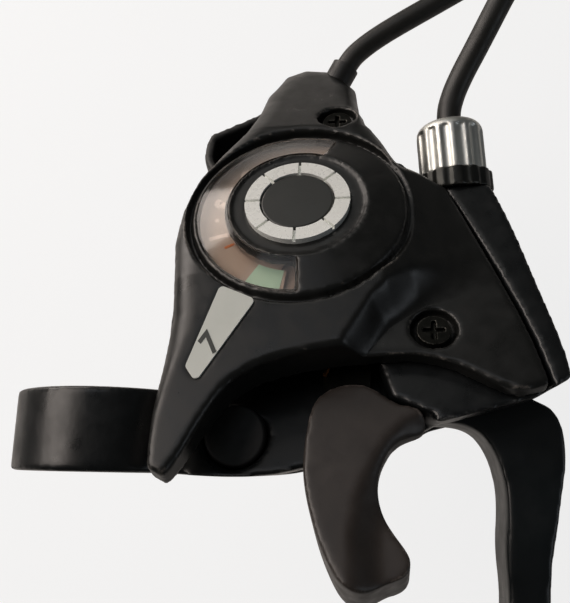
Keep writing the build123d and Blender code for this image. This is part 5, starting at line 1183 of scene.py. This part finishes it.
@dataclass
class Studio:
    """Pale floor, soft lights and the camera.

    Attributes:
        camera_place: The camera's place in metres.
        camera_right: Its direction to the right of the picture.
        camera_up: Its direction to the top of the picture.
        lens: Its focal length in millimetres.
        sensor: The height of its sensor in millimetres.
        shift: How far the picture is shifted up, as a share of the sensor.
        clip: The nearest and farthest distance that it sees, in metres.
        floor_size: Width of the floor in metres.
        clearance: Gap between the object and the floor in metres.
        floor_glow: How much of the floor's own white shows to the camera.
        lights: The soft lights.
        light_target: The point that they all face.
        sky_colour: Colour of the light from all round, sRGB hex.
        sky_strength: Its strength.
    """

    camera_place: tuple[float, float, float] = (0.005155, 0.045342, 0.114693)
    camera_right: tuple[float, float, float] = (-0.019996, 0.99040949, -0.13670846)
    camera_up: tuple[float, float, float] = (-0.9721755, 0.01265945, 0.23391136)
    lens: float = 41.79
    sensor: float = 36.0
    shift: float = -0.0025
    clip: tuple[float, float] = (0.005, 20.0)
    floor_size: float = 6.0
    clearance: float = 0.004
    floor_glow: float = 0.8
    lights: tuple[Softbox, ...] = (
        Softbox("key_light", (-0.12, -0.34, 0.36), (0.4, 0.3), 1.4, "#fff3ea"),
        Softbox("window_light", (-0.42, -0.32, 0.15), (0.35, 0.25), 1.05, "#fff4ec"),
        Softbox("ring_light", (-0.50, -0.02, 0.27), (0.19, 0.14), 0.08, "#fbfaf6"),
        Softbox("top_light", (-0.26, -0.06, 0.50), (0.3, 0.3), 0.15, "#f3f7ff"),
        Softbox("front_light", (0.10, 0.55, 0.20), (0.3, 0.2), 0.15, "#eef6ff"),
    )
    light_target: tuple[float, float, float] = (-0.03, 0.04, 0.0)
    sky_colour: str = "#e8ecec"
    sky_strength: float = 0.055

    def build_camera(self) -> None:
        """Place the camera."""
        data = bpy.data.cameras.new("camera")
        data.sensor_fit = "VERTICAL"
        data.sensor_height = self.sensor
        data.lens = self.lens
        data.clip_start, data.clip_end = self.clip
        data.shift_y = self.shift
        right = Vector(self.camera_right).normalized()
        up = Vector(self.camera_up).normalized()
        back = right.cross(up)
        camera = bpy.data.objects.new("camera", data)
        turn = Matrix((right, up, back)).transposed().to_4x4()
        camera.matrix_world = Matrix.Translation(Vector(self.camera_place)) @ turn
        bpy.context.scene.collection.objects.link(camera)
        bpy.context.scene.camera = camera

    def build_floor(self) -> None:
        """Build the pale floor, which shows near white and keeps the object's shadow."""
        low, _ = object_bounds()
        plate = bmesh.new()
        bmesh.ops.create_grid(plate, x_segments=1, y_segments=1, size=self.floor_size / 2,
                              matrix=Matrix.Translation((0, 0, low[2] - self.clearance)))
        floor = piece_from("studio_floor", plate)
        material = PAINTS.material(FLOOR_PAPER)
        tree = material.node_tree
        output = next(n for n in tree.nodes if n.bl_idname == "ShaderNodeOutputMaterial")
        paper = output.inputs["Surface"].links[0].from_socket
        path = add_node(tree, "ShaderNodeLightPath")
        seen = add_node(tree, "ShaderNodeMath", operation="MAXIMUM",
                        links={0: path.outputs["Is Camera Ray"],
                               1: path.outputs["Is Transmission Ray"]})
        share = add_node(tree, "ShaderNodeMath", operation="MULTIPLY", links={0: seen.outputs[0]},
                         values={1: self.floor_glow})
        glow = add_node(tree, "ShaderNodeEmission",
                        values={"Color": linear("#ffffff"), "Strength": 1.0})
        mixed = add_node(tree, "ShaderNodeMixShader",
                         links={0: share.outputs[0], 1: paper, 2: glow.outputs["Emission"]})
        tree.links.new(mixed.outputs["Shader"], output.inputs["Surface"])
        floor.data.materials.append(material)
        floor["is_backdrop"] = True

    def add_softbox(self, box: Softbox) -> None:
        """Hang one soft light.

        Args:
            box: The light.
        """
        data = bpy.data.lights.new(box.name, "AREA")
        data.shape = "RECTANGLE"
        data.size, data.size_y = box.size
        data.energy = box.power
        data.color = linear(box.colour)[:3]
        light = bpy.data.objects.new(box.name, data)
        light.location = box.place
        facing = Vector(self.light_target) - Vector(box.place)
        light.rotation_euler = facing.to_track_quat("-Z", "Y").to_euler()
        bpy.context.scene.collection.objects.link(light)

    def build_light(self) -> None:
        """Hang the lights and set the sky."""
        for box in self.lights:
            self.add_softbox(box)
        world = bpy.data.worlds.new("studio_sky")
        world.use_nodes = True
        tree = world.node_tree
        tree.nodes.clear()
        path = add_node(tree, "ShaderNodeLightPath")
        white = add_node(tree, "ShaderNodeBackground",
                         values={"Color": linear("#ffffff"), "Strength": 1.0})
        dim = add_node(tree, "ShaderNodeBackground",
                       values={"Color": linear(self.sky_colour), "Strength": self.sky_strength})
        mixed = add_node(tree, "ShaderNodeMixShader",
                         links={0: path.outputs["Is Camera Ray"], 1: dim.outputs["Background"],
                                2: white.outputs["Background"]})
        add_node(tree, "ShaderNodeOutputWorld", links={"Surface": mixed.outputs["Shader"]})
        bpy.context.scene.world = world

    def build(self) -> None:
        """Build the studio round the object."""
        bpy.context.scene.view_settings.view_transform = "Standard"
        self.build_floor()
        self.build_light()
        self.build_camera()


def main() -> None:
    """Build every sub-assembly in order, then the studio."""
    parts = (CoverAssembly(), BracketAssembly(), LeverAssembly(), CableAdjuster(), ShiftUnit(),
             TriggerSet(), BRAKE_CABLE, SHIFT_CABLE)
    for part in parts:
        part.build()
        LOG.info("%s built", type(part).__name__)
    dress("shift_ferrule", FERRULE_NYLON)
    Studio().build()


if __name__ == "__main__":
    main()
